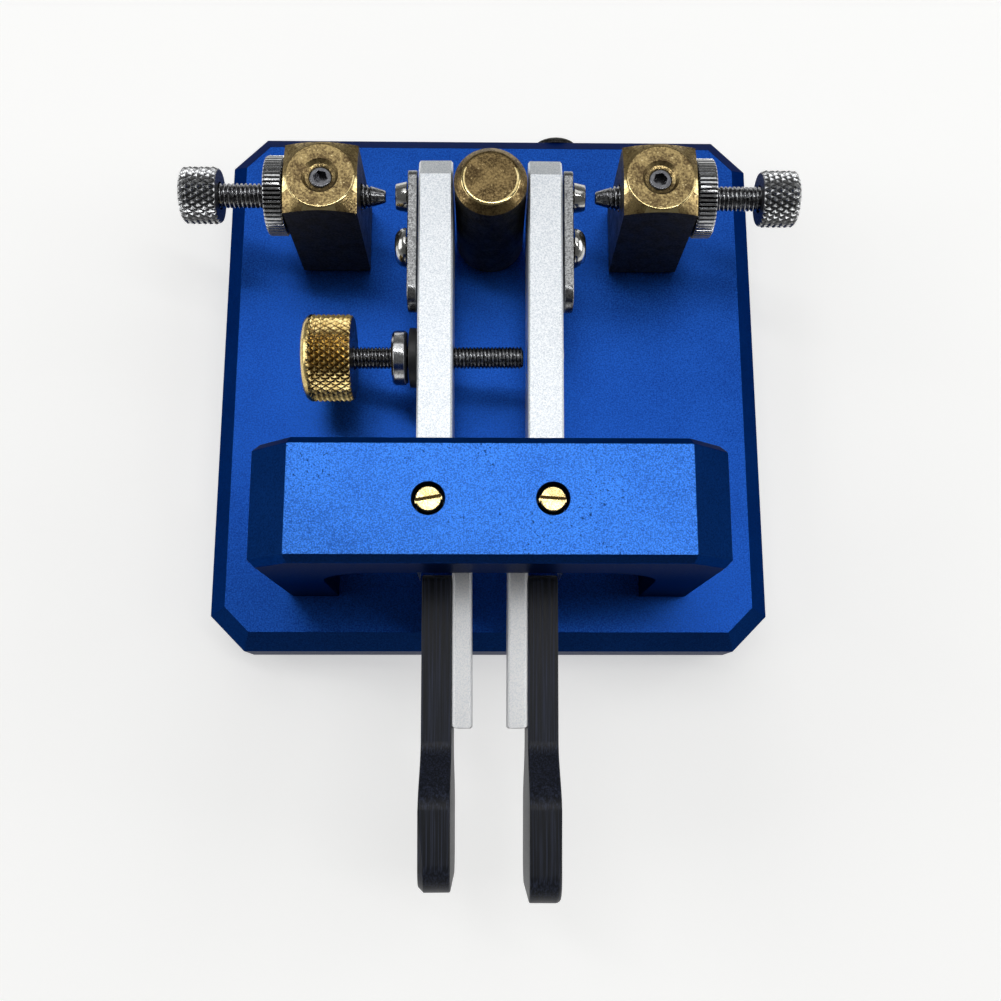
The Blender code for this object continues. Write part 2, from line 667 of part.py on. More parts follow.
def make_contact_posts(frame):
    half = CONTACT_POST_SIDE / 2
    corner_reach = half * math.sqrt(2)
    slope_drop = (corner_reach - CONTACT_POST_DISC_RADIUS) * math.tan(CONTACT_POST_SLOPE)
    blank_reach = corner_reach + CUT_OVERRUN
    blank_drop = slope_drop + CUT_OVERRUN * math.tan(CONTACT_POST_SLOPE)
    square = [(-half, -half), (half, -half), (half, half), (-half, half)]
    height = CONTACT_POST_HEIGHT - CONTACT_POST_LIFT
    middle = CONTACT_POST_LIFT + height / 2
    screw_roof = SMALL_SCREW_REACH + THREAD_GAP
    set_hole_bottom = SCREW_AXIS_HEIGHT + CONTACT_SCREW_RADIUS / 2
    for name, side in SIDES:
        mesh = mesh_from(prism_bmesh(square, height, "XY"), "contact_post")
        mesh.transform(Matrix.Translation((0, 0, middle)))
        post = place(
            name + "_contact_post", mesh, "brass", frame, (side * CONTACT_POST_X, POST_Y, BASE_TOP),
        )
        # The lathe cut that leaves the round, sloping top is a ring above a cone.
        ring = turned("top_cutter", [
            (CONTACT_POST_DISC_RADIUS, CONTACT_POST_HEIGHT),
            (blank_reach, CONTACT_POST_HEIGHT - blank_drop),
            (blank_reach, CONTACT_POST_HEIGHT + CUT_OVERRUN),
            (CONTACT_POST_DISC_RADIUS, CONTACT_POST_HEIGHT + CUT_OVERRUN),
        ])
        cutter = bpy.data.objects.new("top_cutter", ring)
        bpy.context.collection.objects.link(cutter)
        hide_cutter(cutter, post)
        drill(
            post, CONTACT_SCREW_RADIUS + THREAD_GAP,
            (-half - CUT_OVERRUN, 0, SCREW_AXIS_HEIGHT), (half + CUT_OVERRUN, 0, SCREW_AXIS_HEIGHT),
        )
        drill(
            post, SET_SCREW_RADIUS + THREAD_GAP,
            (0, 0, set_hole_bottom), (0, 0, CONTACT_POST_HEIGHT + CUT_OVERRUN),
        )
        mouth_depth = SET_HOLE_MOUTH_RADIUS - SET_SCREW_RADIUS
        drill(
            post, SET_SCREW_RADIUS, (0, 0, CONTACT_POST_HEIGHT - mouth_depth),
            (0, 0, CONTACT_POST_HEIGHT + mouth_depth), SET_HOLE_MOUTH_RADIUS + mouth_depth,
        )
        drill(post, SMALL_SCREW_RADIUS + THREAD_GAP, (0, 0, -CUT_OVERRUN), (0, 0, screw_roof))


def make_set_screws(frame):
    bottom = SCREW_AXIS_HEIGHT + CONTACT_SCREW_RADIUS + RUN_GAP
    top = bottom + SET_SCREW_LENGTH
    for name, side in SIDES:
        screw = place(name + "_set_screw", turned("set_screw", [
            (0, bottom),
            (SET_SCREW_RADIUS - SET_SCREW_CHAMFER, bottom),
            (SET_SCREW_RADIUS, bottom + SET_SCREW_CHAMFER),
            (SET_SCREW_RADIUS, top - SET_SCREW_CHAMFER),
            (SET_SCREW_RADIUS - SET_SCREW_CHAMFER, top),
            (0, top),
        ], SMALL_SIDES), "black_steel", frame, (side * CONTACT_POST_X, POST_Y, BASE_TOP), smooth=True)
        drill(
            screw, hex_radius(SET_SCREW_SOCKET), (0, 0, top - SET_SCREW_SOCKET_DEPTH),
            (0, 0, top + CUT_OVERRUN), sides=HEX_SIDES,
        )


def make_contact_screws(frame):
    tip = CONTACT_TIP_DISTANCE
    shank_end = CONTACT_KNOB_DISTANCE + CONTACT_KNOB_BORE_DEPTH - SEAT_GAP
    post_outer = CONTACT_POST_X + CONTACT_POST_SIDE / 2
    knob_bore = CONTACT_SCREW_RADIUS + THREAD_GAP
    for name, side in SIDES:
        axis_place = (0, POST_Y, BASE_TOP + SCREW_AXIS_HEIGHT)
        place(name + "_contact_screw", turned("contact_screw", [
            (0, tip),
            (CONTACT_TIP_RADIUS, tip),
            (CONTACT_SCREW_RADIUS, tip + CONTACT_TIP_LENGTH),
            (CONTACT_SCREW_RADIUS, shank_end),
            (0, shank_end),
        ], SMALL_SIDES), "steel", frame, axis_place, outward(side), smooth=True)
        knob = knurled_knob(
            "contact_knob", CONTACT_KNOB_RADIUS, CONTACT_KNOB_LENGTH, CONTACT_KNOB_RIM,
            CONTACT_KNOB_SHOULDER, knob_bore, CONTACT_KNOB_BORE_DEPTH,
            CONTACT_KNOB_DIAMONDS, CONTACT_KNOB_ROWS,
        )
        knob.transform(Matrix.Translation((0, 0, CONTACT_KNOB_DISTANCE)))
        place(name + "_contact_knob", knob, "steel", frame, axis_place, outward(side))
        nut = toothed_nut(
            "lock_nut", LOCK_NUT_RADIUS, LOCK_NUT_LENGTH, LOCK_NUT_EDGE,
            CONTACT_SCREW_RADIUS + THREAD_GAP, LOCK_NUT_TEETH,
        )
        nut.transform(Matrix.Translation((0, 0, post_outer + RUN_GAP)))
        place(name + "_lock_nut", nut, "steel", frame, axis_place, outward(side))


def arm_outline():
    return [
        (-ARM_FRONT_REACH, -ARM_HEIGHT / 2),
        (ARM_REAR_REACH, -ARM_HEIGHT / 2),
        (ARM_REAR_REACH, ARM_HEIGHT / 2 - ARM_REAR_SLOPE_DROP),
        (ARM_REAR_REACH - ARM_REAR_SLOPE_LENGTH, ARM_HEIGHT / 2),
        (-ARM_FRONT_REACH, ARM_HEIGHT / 2),
    ]


def make_arm(frame, name, side):
    # The arm's own origin lies on its pivot's axis, at the bar's middle height.
    bm = prism_bmesh(arm_outline(), ARM_WIDTH, "YZ")
    long_edges = []
    for edge in bm.edges:
        first, second = edge.verts[0].co, edge.verts[1].co
        along_outline = abs(first.x - second.x) < MERGE_DISTANCE
        if along_outline:
            long_edges.append(edge)
    bmesh.ops.bevel(
        bm, geom=long_edges, offset=ARM_EDGE_BEVEL, offset_type="OFFSET", segments=1, affect="EDGES",
    )
    arm = place(
        name + "_arm", mesh_from(bm, "arm"), "clear_anodised", frame,
        (side * PIVOT_X, PIVOT_Y, BASE_TOP + ARM_MIDDLE_HEIGHT), (0, 0, -side * REST_TURN),
    )
    half = ARM_HEIGHT / 2
    mouth = PIVOT_CUP_RADIUS * (1 + CUT_OVERRUN / PIVOT_CUP_DEPTH)
    for end in (-1, 1):
        bottom = end * (half - PIVOT_CUP_DEPTH)
        drill(arm, 0, (0, 0, bottom), (0, 0, end * (half + CUT_OVERRUN)), mouth, SMALL_SIDES)
    inner_x = -side * ARM_WIDTH / 2
    outer_x = side * ARM_WIDTH / 2
    over_outer = outer_x + side * CUT_OVERRUN
    over_inner = inner_x - side * CUT_OVERRUN
    blind = CARRIER_SCREW_LENGTH - CARRIER_THICKNESS
    for end in (-1, 1):
        y = end * CARRIER_SCREW_PLACE
        drill(
            arm, CARRIER_SCREW_RADIUS + THREAD_GAP, (over_inner, y, 0), (inner_x + side * blind, y, 0),
            sides=SMALL_SIDES,
        )
    strip_z = strip_height_on_arm()
    strip_hole = side * (ARM_WIDTH / 2 + SEAT_GAP + STRIP_THICKNESS - STRIP_SCREW_LENGTH - THREAD_GAP)
    drill(
        arm, STRIP_SCREW_RADIUS + THREAD_GAP, (strip_hole, STRIP_SCREW_REACH, strip_z),
        (over_outer, STRIP_SCREW_REACH, strip_z), sides=SMALL_SIDES,
    )
    through_radius = TENSION_ROD_RADIUS if side < 0 else MAGNET_RADIUS
    drill(
        arm, through_radius + THREAD_GAP, (over_inner, TENSION_REACH, 0), (over_outer, TENSION_REACH, 0),
    )
    return arm


def carrier_outer():
    return ARM_WIDTH / 2 + SEAT_GAP


def plate_inner():
    # Distance from the arm's middle plane, towards the key's middle, of the face
    # that the finger plate lies against.
    return carrier_outer() - PLATE_GAP


def make_carrier(arm, name, side):
    length = CARRIER_REAR_REACH + CARRIER_FRONT_REACH
    middle_y = (CARRIER_REAR_REACH - CARRIER_FRONT_REACH) / 2
    half_y = length / 2
    half_z = ARM_HEIGHT / 2
    outline = [(-half_y, -half_z), (half_y, -half_z), (half_y, half_z), (-half_y, half_z)]
    bm = prism_bmesh(outline, CARRIER_THICKNESS, "YZ")
    edges = [edge for edge in bm.edges if abs(edge.verts[0].co.x - edge.verts[1].co.x) < MERGE_DISTANCE]
    bmesh.ops.bevel(
        bm, geom=edges, offset=CARRIER_EDGE_BEVEL, offset_type="OFFSET", segments=1, affect="EDGES",
    )
    mesh = mesh_from(bm, "carrier_strip")
    middle_x = -side * (carrier_outer() + CARRIER_THICKNESS / 2)
    mesh.transform(Matrix.Translation((middle_x, middle_y, 0)))
    strip = place(name + "_carrier_strip", mesh, "clear_anodised", arm)
    inner_x = -side * (carrier_outer() + CARRIER_THICKNESS)
    outer_x = -side * carrier_outer()
    over_inner = inner_x - side * CUT_OVERRUN
    over_outer = outer_x + side * CUT_OVERRUN
    sunk = inner_x + side * (CARRIER_SCREW_HEAD_LENGTH + SEAT_GAP)
    for end in (-1, 1):
        y = end * CARRIER_SCREW_PLACE
        drill(
            strip, CARRIER_SCREW_RADIUS + THREAD_GAP, (over_inner, y, 0), (over_outer, y, 0),
            sides=SMALL_SIDES,
        )
        drill(
            strip, CARRIER_SCREW_HEAD_RADIUS + SEAT_GAP, (over_inner, y, 0), (sunk, y, 0),
            sides=SMALL_SIDES,
        )
    for reach in (FINGER_SCREW_REAR_REACH, FINGER_SCREW_FRONT_REACH):
        drill(
            strip, FINGER_SCREW_RADIUS + THREAD_GAP, (over_inner, -reach, 0), (over_outer, -reach, 0),
            sides=SMALL_SIDES,
        )
    return inner_x


def sunk_screw(radius, head_radius, head_length, length):
    # Flat head at height zero, shank downward.
    return turned("sunk_screw", [
        (0, -length),
        (radius, -length),
        (radius, -head_length),
        (head_radius, -head_length),
        (head_radius, 0),
        (0, 0),
    ], SMALL_SIDES)


def make_carrier_screws(arm, name, side, inner_x):
    length = CARRIER_SCREW_LENGTH - THREAD_GAP
    for end_name, end in ENDS:
        screw = sunk_screw(
            CARRIER_SCREW_RADIUS, CARRIER_SCREW_HEAD_RADIUS, CARRIER_SCREW_HEAD_LENGTH, length,
        )
        place(
            f"{name}_{end_name}_carrier_screw", screw, "steel", arm,
            (inner_x, end * CARRIER_SCREW_PLACE, 0), outward(-side), smooth=True,
        )


def plate_outline(front_reach):
    # Side view of a finger plate, as (y, z) about the arm's middle height. The rear
    # tab is as tall as the arm. A smooth S-curve widens it to the finger end.
    tab_half = ARM_HEIGHT / 2
    pad_half = tab_half + PLATE_FLARE_RISE
    rear = -(ARM_FRONT_REACH + PLATE_REAR_GAP)
    corner = PLATE_CORNER_RADIUS
    tab_corner = (rear - PLATE_TAB_RADIUS, tab_half - PLATE_TAB_RADIUS)
    upper = arc(tab_corner, PLATE_TAB_RADIUS, 0, 90, PLATE_TAB_STEPS)
    flare_length = PLATE_FLARE_END - PLATE_FLARE_START
    for step in range(PLATE_FLARE_STEPS + 1):
        share = step / PLATE_FLARE_STEPS
        rise = (1 - math.cos(math.pi * share)) / 2
        upper.append((-PLATE_FLARE_START - flare_length * share, tab_half + PLATE_FLARE_RISE * rise))
    upper += arc((-front_reach + corner, pad_half - corner), corner, 90, 180, PLATE_CORNER_STEPS)
    lower = [(y, -z) for y, z in reversed(upper)]
    return upper + lower


def make_finger_plate(arm, name, side):
    reach = LEFT_PLATE_REACH if side < 0 else RIGHT_PLATE_REACH
    bm = prism_bmesh(plate_outline(reach), PLATE_THICKNESS, "YZ")
    edges = [edge for edge in bm.edges if abs(edge.verts[0].co.x - edge.verts[1].co.x) < MERGE_DISTANCE]
    bmesh.ops.bevel(
        bm, geom=edges, offset=PLATE_EDGE_BEVEL, offset_type="OFFSET", segments=1, affect="EDGES",
    )
    mesh = mesh_from(bm, "finger_plate")
    inner_x = -side * plate_inner()
    outer_x = inner_x + side * PLATE_THICKNESS
    mesh.transform(Matrix.Translation(((inner_x + outer_x) / 2, 0, 0)))
    plate = place(name + "_finger_plate", mesh, "black_plastic", arm)
    over_inner = inner_x - side * CUT_OVERRUN
    over_outer = outer_x + side * CUT_OVERRUN
    sunk = outer_x - side * (FINGER_SCREW_HEAD_LENGTH + SEAT_GAP)
    for reach in (FINGER_SCREW_REAR_REACH, FINGER_SCREW_FRONT_REACH):
        drill(
            plate, FINGER_SCREW_RADIUS + THREAD_GAP, (over_inner, -reach, 0), (over_outer, -reach, 0),
            sides=SMALL_SIDES,
        )
        drill(
            plate, FINGER_SCREW_HEAD_RADIUS + SEAT_GAP, (sunk, -reach, 0), (over_outer, -reach, 0),
            sides=SMALL_SIDES,
        )
    return outer_x


def make_finger_screws(arm, name, side, outer_x):
    length = PLATE_THICKNESS + PLATE_GAP + CARRIER_THICKNESS - THREAD_GAP
    reaches = (("front", FINGER_SCREW_FRONT_REACH), ("rear", FINGER_SCREW_REAR_REACH))
    for end_name, reach in reaches:
        screw = sunk_screw(
            FINGER_SCREW_RADIUS, FINGER_SCREW_HEAD_RADIUS, FINGER_SCREW_HEAD_LENGTH, length,
        )
        place(
            f"{name}_{end_name}_finger_screw", screw, "black_steel", arm, (outer_x, -reach, 0),
            outward(side), smooth=True,
        )


def strip_height_on_arm():
    return SCREW_AXIS_HEIGHT - ARM_MIDDLE_HEIGHT


def make_contact_strip(arm, name, side):
    half = STRIP_HEIGHT / 2
    front = (STRIP_FRONT_REACH + half, 0)
    rear_y = STRIP_REAR_REACH - STRIP_REAR_RADIUS
    corner_z = half - STRIP_REAR_RADIUS
    outline = arc(front, half, 90, 270, STRIP_ROUND_STEPS)
    outline += arc((rear_y, -corner_z), STRIP_REAR_RADIUS, 270, 360, STRIP_CORNER_STEPS)
    outline += arc((rear_y, corner_z), STRIP_REAR_RADIUS, 0, 90, STRIP_CORNER_STEPS)
    mesh = mesh_from(prism_bmesh(outline, STRIP_THICKNESS, "YZ"), "contact_strip")
    height = strip_height_on_arm()
    inner_x = side * (ARM_WIDTH / 2 + SEAT_GAP)
    outer_x = inner_x + side * STRIP_THICKNESS
    mesh.transform(Matrix.Translation(((inner_x + outer_x) / 2, 0, height)))
    strip = place(name + "_contact_strip", mesh, "nickel", arm)
    over_inner = inner_x - side * CUT_OVERRUN
    over_outer = outer_x + side * CUT_OVERRUN
    holes = ((STRIP_SCREW_RADIUS, STRIP_SCREW_REACH), (PIN_RIVET_RADIUS, CONTACT_REACH))
    for radius, reach in holes:
        drill(
            strip, radius + THREAD_GAP, (over_inner, reach, height), (over_outer, reach, height),
            sides=SMALL_SIDES,
        )
    pin = turned("contact_pin", [
        (0, -STRIP_THICKNESS),
        (PIN_RIVET_RADIUS, -STRIP_THICKNESS),
        (PIN_RIVET_RADIUS, SEAT_GAP),
        (PIN_BASE_RADIUS, SEAT_GAP),
        (PIN_TIP_RADIUS, PIN_LENGTH),
        (0, PIN_LENGTH),
    ], SMALL_SIDES)
    place(
        name + "_contact_pin", pin, "nickel", arm, (outer_x, CONTACT_REACH, height), outward(side),
        smooth=True,
    )
    head = STRIP_SCREW_HEAD_RADIUS
    flat = STRIP_SCREW_FLAT_RADIUS
    dome = []
    for step in range(STRIP_CORNER_STEPS + 1):
        angle = math.pi / 2 * step / STRIP_CORNER_STEPS
        reach = flat + (head - flat) * math.cos(angle)
        dome.append((reach, SEAT_GAP + STRIP_SCREW_HEAD_LENGTH * math.sin(angle)))
    screw = turned("strip_screw", [
        (0, -STRIP_SCREW_LENGTH),
        (STRIP_SCREW_RADIUS, -STRIP_SCREW_LENGTH),
        (STRIP_SCREW_RADIUS, SEAT_GAP),
    ] + dome + [(0, SEAT_GAP + STRIP_SCREW_HEAD_LENGTH)], SMALL_SIDES)
    button = place(
        name + "_strip_screw", screw, "nickel", arm, (outer_x, STRIP_SCREW_REACH, height),
        outward(side), smooth=True,
    )
    top = SEAT_GAP + STRIP_SCREW_HEAD_LENGTH
    drill(
        button, hex_radius(STRIP_SOCKET), (0, 0, top - STRIP_SOCKET_DEPTH), (0, 0, top + CUT_OVERRUN),
        sides=HEX_SIDES,
    )


def rod_tip_distance():
    # How far past the left arm's middle plane the rod's tip reaches, towards the
    # magnet, whose face lies flush with the right arm's inner face.
    arm_middle = PIVOT_X + TENSION_REACH * math.sin(REST_TURN)
    return 2 * arm_middle - ARM_WIDTH / 2 - MAGNET_AIR_GAP


def make_tension_screw(arm):
    side = -1
    where = (0, TENSION_REACH, 0)
    rod_end = TENSION_KNOB_DISTANCE + TENSION_KNOB_BORE_DEPTH - SEAT_GAP
    rod_bore = TENSION_ROD_RADIUS + THREAD_GAP
    place("tension_rod", turned("tension_rod", [
        (0, -rod_tip_distance()),
        (TENSION_ROD_RADIUS, -rod_tip_distance()),
        (TENSION_ROD_RADIUS, rod_end),
        (0, rod_end),
    ], SMALL_SIDES), "steel", arm, where, outward(side), smooth=True)
    washer_low = ARM_WIDTH / 2 + SEAT_GAP
    washer_high = washer_low + TENSION_WASHER_THICKNESS
    place("tension_washer", turned("tension_washer", [
        (rod_bore, washer_low),
        (TENSION_WASHER_RADIUS, washer_low),
        (TENSION_WASHER_RADIUS, washer_high),
        (rod_bore, washer_high),
    ]), "black_plastic", arm, where, outward(side), smooth=True)
    collar_low = washer_high + RUN_GAP
    collar_high = collar_low + TENSION_COLLAR_LENGTH
    chamfer = TENSION_COLLAR_CHAMFER
    place("tension_collar", turned("tension_collar", [
        (rod_bore, collar_low),
        (TENSION_COLLAR_RADIUS - chamfer, collar_low),
        (TENSION_COLLAR_RADIUS, collar_low + chamfer),
        (TENSION_COLLAR_RADIUS, collar_high - chamfer),
        (TENSION_COLLAR_RADIUS - chamfer, collar_high),
        (rod_bore, collar_high),
    ]), "steel", arm, where, outward(side), smooth=True)
    knob = knurled_knob(
        "tension_knob", TENSION_KNOB_RADIUS, TENSION_KNOB_LENGTH, TENSION_KNOB_RIM,
        TENSION_KNOB_SHOULDER, rod_bore, TENSION_KNOB_BORE_DEPTH,
        TENSION_KNOB_DIAMONDS, TENSION_KNOB_ROWS,
    )
    knob.transform(Matrix.Translation((0, 0, TENSION_KNOB_DISTANCE)))
    place("tension_knob", knob, "brass", arm, where, outward(side))


def make_magnet(arm):
    inner = -ARM_WIDTH / 2
    outer = ARM_WIDTH / 2 + MAGNET_STAND_OUT
    rim = MAGNET_RADIUS - MAGNET_CHAMFER
    place("tension_magnet", turned("tension_magnet", [
        (0, inner),
        (rim, inner),
        (MAGNET_RADIUS, inner + MAGNET_CHAMFER),
        (MAGNET_RADIUS, outer - MAGNET_CHAMFER),
        (rim, outer),
        (0, outer),
    ]), "nickel", arm, (0, TENSION_REACH, 0), outward(1), smooth=True)


def make_screw_from_below(frame, name, finish_name, x, y, seat, radius, reach, head_radius, head_length):
    # The head hangs below its seat. The shank reaches up into what it holds.
    return place(name, turned("screw_from_below", [
        (0, -head_length),
        (head_radius, -head_length),
        (head_radius, 0),
        (radius, 0),
        (radius, BASE_TOP + reach - seat),
        (0, BASE_TOP + reach - seat),
    ], SMALL_SIDES), finish_name, frame, (x, y, seat), smooth=True)


def pocket_seat():
    return BASE_UNDERSIDE + HEAD_POCKET_DEPTH - SEAT_GAP


def post_screw_seat():
    return pocket_seat() - WASHER_THICKNESS - SEAT_GAP


def make_screws_from_below(frame):
    seat = pocket_seat()
    bolted = (
        ("left_bridge_screw", -LEG_MIDDLE_X, PIVOT_Y),
        ("right_bridge_screw", LEG_MIDDLE_X, PIVOT_Y),
        ("centre_post_screw", 0, POST_Y),
    )
    low = -LARGE_HEAD_LENGTH
    for name, x, y in bolted:
        screw = make_screw_from_below(
            frame, name, "black_steel", x, y, seat, LARGE_SCREW_RADIUS, LARGE_SCREW_REACH,
            LARGE_HEAD_RADIUS, LARGE_HEAD_LENGTH,
        )
        drill(
            screw, hex_radius(LARGE_SOCKET), (0, 0, low - CUT_OVERRUN),
            (0, 0, low + LARGE_SOCKET_DEPTH), sides=HEX_SIDES,
        )
    slot_reach = SMALL_HEAD_RADIUS + CUT_OVERRUN
    slot_half = SMALL_SLOT_WIDTH / 2
    low = -SMALL_HEAD_LENGTH
    for name, side in SIDES:
        screw = make_screw_from_below(
            frame, name + "_post_screw", "steel", side * CONTACT_POST_X, POST_Y, post_screw_seat(),
            SMALL_SCREW_RADIUS, SMALL_SCREW_REACH, SMALL_HEAD_RADIUS, SMALL_HEAD_LENGTH,
        )
        mill(
            screw, (-slot_reach, -slot_half, low - CUT_OVERRUN),
            (slot_reach, slot_half, low + SMALL_SLOT_DEPTH),
        )


def make_insulators(frame):
    bore = SMALL_SCREW_RADIUS + THREAD_GAP
    seat = pocket_seat()
    flange_low = BASE_TOP - BUSH_FLANGE_SINK
    flange_high = BASE_TOP + CONTACT_POST_LIFT - SEAT_GAP
    for name, side in SIDES:
        location = (side * CONTACT_POST_X, POST_Y, 0)
        place(name + "_post_bush", turned("bush", [
            (bore, seat + SEAT_GAP),
            (BUSH_SLEEVE_RADIUS, seat + SEAT_GAP),
            (BUSH_SLEEVE_RADIUS, flange_low),
            (BUSH_FLANGE_RADIUS, flange_low),
            (BUSH_FLANGE_RADIUS, flange_high),
            (bore, flange_high),
        ], SMALL_SIDES), "black_plastic", frame, location, smooth=True)
        place(name + "_post_washer", turned("washer", [
            (bore, seat - WASHER_THICKNESS),
            (WASHER_RADIUS, seat - WASHER_THICKNESS),
            (WASHER_RADIUS, seat),
            (bore, seat),
        ], SMALL_SIDES), "fibre", frame, location, smooth=True)


def jack_front_y():
    return BASE_SIDE / 2 - JACK_WALL - BAY_CLEARANCE - JACK_BODY_LENGTH


def box_mesh(low, high):
    bm = bmesh.new()
    bmesh.ops.create_cube(bm, size=1.0)
    mesh = mesh_from(bm, "box")
    middle = (Vector(low) + Vector(high)) / 2
    size = Vector(high) - Vector(low)
    mesh.transform(Matrix.Translation(middle) @ Matrix.Diagonal((*size, 1.0)))
    return mesh


def unite(target, mesh):
    # A guide object that a Boolean union makes part of the target's one body.
    guide = bpy.data.objects.new(target.name + "_guide", mesh)
    bpy.context.collection.objects.link(guide)
    guide.parent = target
    guide.hide_render = True
    guide.display_type = "WIRE"
    modifier = target.modifiers.new(guide.name, "BOOLEAN")
    modifier.operation = "UNION"
    modifier.solver = "EXACT"
    modifier.object = guide


def make_jack(frame):
    # The moulded body and its threaded neck are one piece, with three blades moulded in.
    half = BASE_SIDE / 2
    height = BASE_TOP - JACK_AXIS_DEPTH
    rear = half - JACK_WALL - BAY_CLEARANCE
    half_x = JACK_BODY_WIDTH / 2
    half_z = JACK_BODY_HEIGHT / 2
    front = jack_front_y()
    mesh = box_mesh((-half_x, front, -half_z), (half_x, rear, half_z))
    body = place("jack_body", mesh, "black_plastic", frame, (JACK_X, 0, height))
    overlap = JACK_BODY_LENGTH / 2
    neck = turned("jack_neck", [
        (0, rear - overlap),
        (JACK_BARREL_RADIUS, rear - overlap),
        (JACK_BARREL_RADIUS, half + JACK_BARREL_STAND_OUT),
        (0, half + JACK_BARREL_STAND_OUT),
    ], SMALL_SIDES)
    neck.transform(Matrix.Rotation(-math.pi / 2, 4, "X"))
    unite(body, neck)
    half_blade = TERMINAL_WIDTH / 2
    half_thick = TERMINAL_THICKNESS / 2
    for step in (-1, 0, 1):
        x = step * TERMINAL_SPACING
        blade_front = (x - half_blade, front - TERMINAL_LENGTH, -half_thick)
        blade_rear = (x + half_blade, front + TERMINAL_LENGTH, half_thick)
        unite(body, box_mesh(blade_front, blade_rear))
    mouth = half + JACK_BARREL_STAND_OUT
    drill(
        body, JACK_BORE_RADIUS, (0, mouth + CUT_OVERRUN, 0), (0, mouth - JACK_BORE_DEPTH, 0),
        sides=SMALL_SIDES,
    )
    inner = JACK_BARREL_RADIUS + THREAD_GAP
    near = half + SEAT_GAP
    far = near + JACK_NUT_LENGTH
    nut = place("jack_nut", turned("jack_nut", [
        (inner, near),
        (JACK_NUT_RADIUS, near),
        (JACK_NUT_RADIUS, far - JACK_NUT_CHAMFER),
        (JACK_NUT_RADIUS - JACK_NUT_CHAMFER, far),
        (inner, far),
    ]), "black_steel", frame, (JACK_X, 0, height), (-math.pi / 2, 0, 0), smooth=True)
    notch = JACK_NUT_NOTCH_WIDTH / 2
    reach = JACK_NUT_RADIUS + CUT_OVERRUN
    mill(nut, (-reach, -notch, far - JACK_NUT_NOTCH_DEPTH), (reach, notch, far + CUT_OVERRUN))


def smooth_route(points):
    # Points along a smooth curve through the route's own points.
    padded = [points[0] * 2 - points[1]] + points + [points[-1] * 2 - points[-2]]
    result = []
    for index in range(1, len(padded) - 2):
        before, start, end, after = padded[index - 1:index + 3]
        for step in range(LEAD_CURVE_STEPS):
            share = step / LEAD_CURVE_STEPS
            result.append((
                2 * start + (end - before) * share
                + (2 * before - 5 * start + 4 * end - after) * share ** 2
                + (3 * start - before - 3 * end + after) * share ** 3
            ) / 2)
    result.append(points[-1])
    return result


def tube(name, points, radius):
    # A round rod along a route, closed at both ends.
    bm = bmesh.new()
    rings = []
    last = len(points) - 1
    across = Vector((0, 0, 1))
    for index, point in enumerate(points):
        along = (points[min(index + 1, last)] - points[max(index - 1, 0)]).normalized()
        across = (across - along * across.dot(along)).normalized()
        aside = along.cross(across)
        ring = []
        for corner in range(LEAD_SIDES):
            angle = 2 * math.pi * corner / LEAD_SIDES
            offset = across * math.cos(angle) + aside * math.sin(angle)
            ring.append(bm.verts.new(point + offset * radius))
        rings.append(ring)
    bm.faces.new(rings[0])
    bm.faces.new(rings[-1])
    for first, second in zip(rings, rings[1:]):
        for corner in range(LEAD_SIDES):
            following = (corner + 1) % LEAD_SIDES
            bm.faces.new((first[corner], first[following], second[following], second[corner]))
    return mesh_from(bm, name)


def make_lead(frame, name, finish_name, route):
    points = smooth_route([Vector(point) for point in route])
    place(name, tube(name, points, LEAD_RADIUS), finish_name, frame, smooth=True)


def make_leads(frame):
    # The outer leads lie in the milled channels. The earth lead lies in the bay.
    # Each starts beside its post's screw head and ends under its terminal.
    depth = BASE_UNDERSIDE + CHANNEL_DEPTH / 2
    below = SEAT_GAP + LEAD_RADIUS
    terminal_y = jack_front_y() - TERMINAL_LENGTH / 2
    terminal_z = BASE_TOP - JACK_AXIS_DEPTH - TERMINAL_THICKNESS / 2 - below
    turn = CHANNEL_WIDTH / 2
    for (name, side), finish_name in zip(SIDES, ("red_lead", "yellow_lead")):
        post_x = side * CONTACT_POST_X
        end_x = JACK_X + side * TERMINAL_SPACING
        start_y = POST_Y + SMALL_HEAD_RADIUS + RUN_GAP
        start_z = post_screw_seat() - below
        make_lead(frame, name + "_lead", finish_name, [
            (post_x, start_y, start_z),
            (post_x, (start_y + CHANNEL_RUN_Y) / 2, (start_z + depth) / 2),
            (post_x - side * turn, CHANNEL_RUN_Y, depth),
            ((post_x + end_x) / 2, CHANNEL_RUN_Y, depth),
            (end_x + side * 2 * turn, CHANNEL_RUN_Y, depth),
            (end_x, terminal_y, terminal_z),
        ])
    start_x = LARGE_HEAD_RADIUS + RUN_GAP
    start_z = pocket_seat() - below
    make_lead(frame, "earth_lead", "black_lead", [
        (start_x, POST_Y, start_z),
        ((start_x + JACK_X) / 2, POST_Y + turn / 2, start_z),
        (JACK_X, (POST_Y + terminal_y) / 2, (start_z + terminal_z) / 2),
        (JACK_X, terminal_y, terminal_z),
    ])


def build_key():
    frame = make_frame()
    make_base(frame)
    make_feet(frame)
    make_bridge(frame)
    make_pivot_screws(frame)
    make_centre_post(frame)
    make_contact_posts(frame)
    make_set_screws(frame)
    make_contact_screws(frame)
    arms = {}
    for name, side in SIDES:
        arm = make_arm(frame, name, side)
        inner_x = make_carrier(arm, name, side)
        make_carrier_screws(arm, name, side, inner_x)
        outer_x = make_finger_plate(arm, name, side)
        make_finger_screws(arm, name, side, outer_x)
        make_contact_strip(arm, name, side)
        arms[name] = arm
    make_tension_screw(arms["left"])
    make_magnet(arms["right"])
    make_screws_from_below(frame)
    make_insulators(frame)
    make_jack(frame)
    make_leads(frame)


build_key()
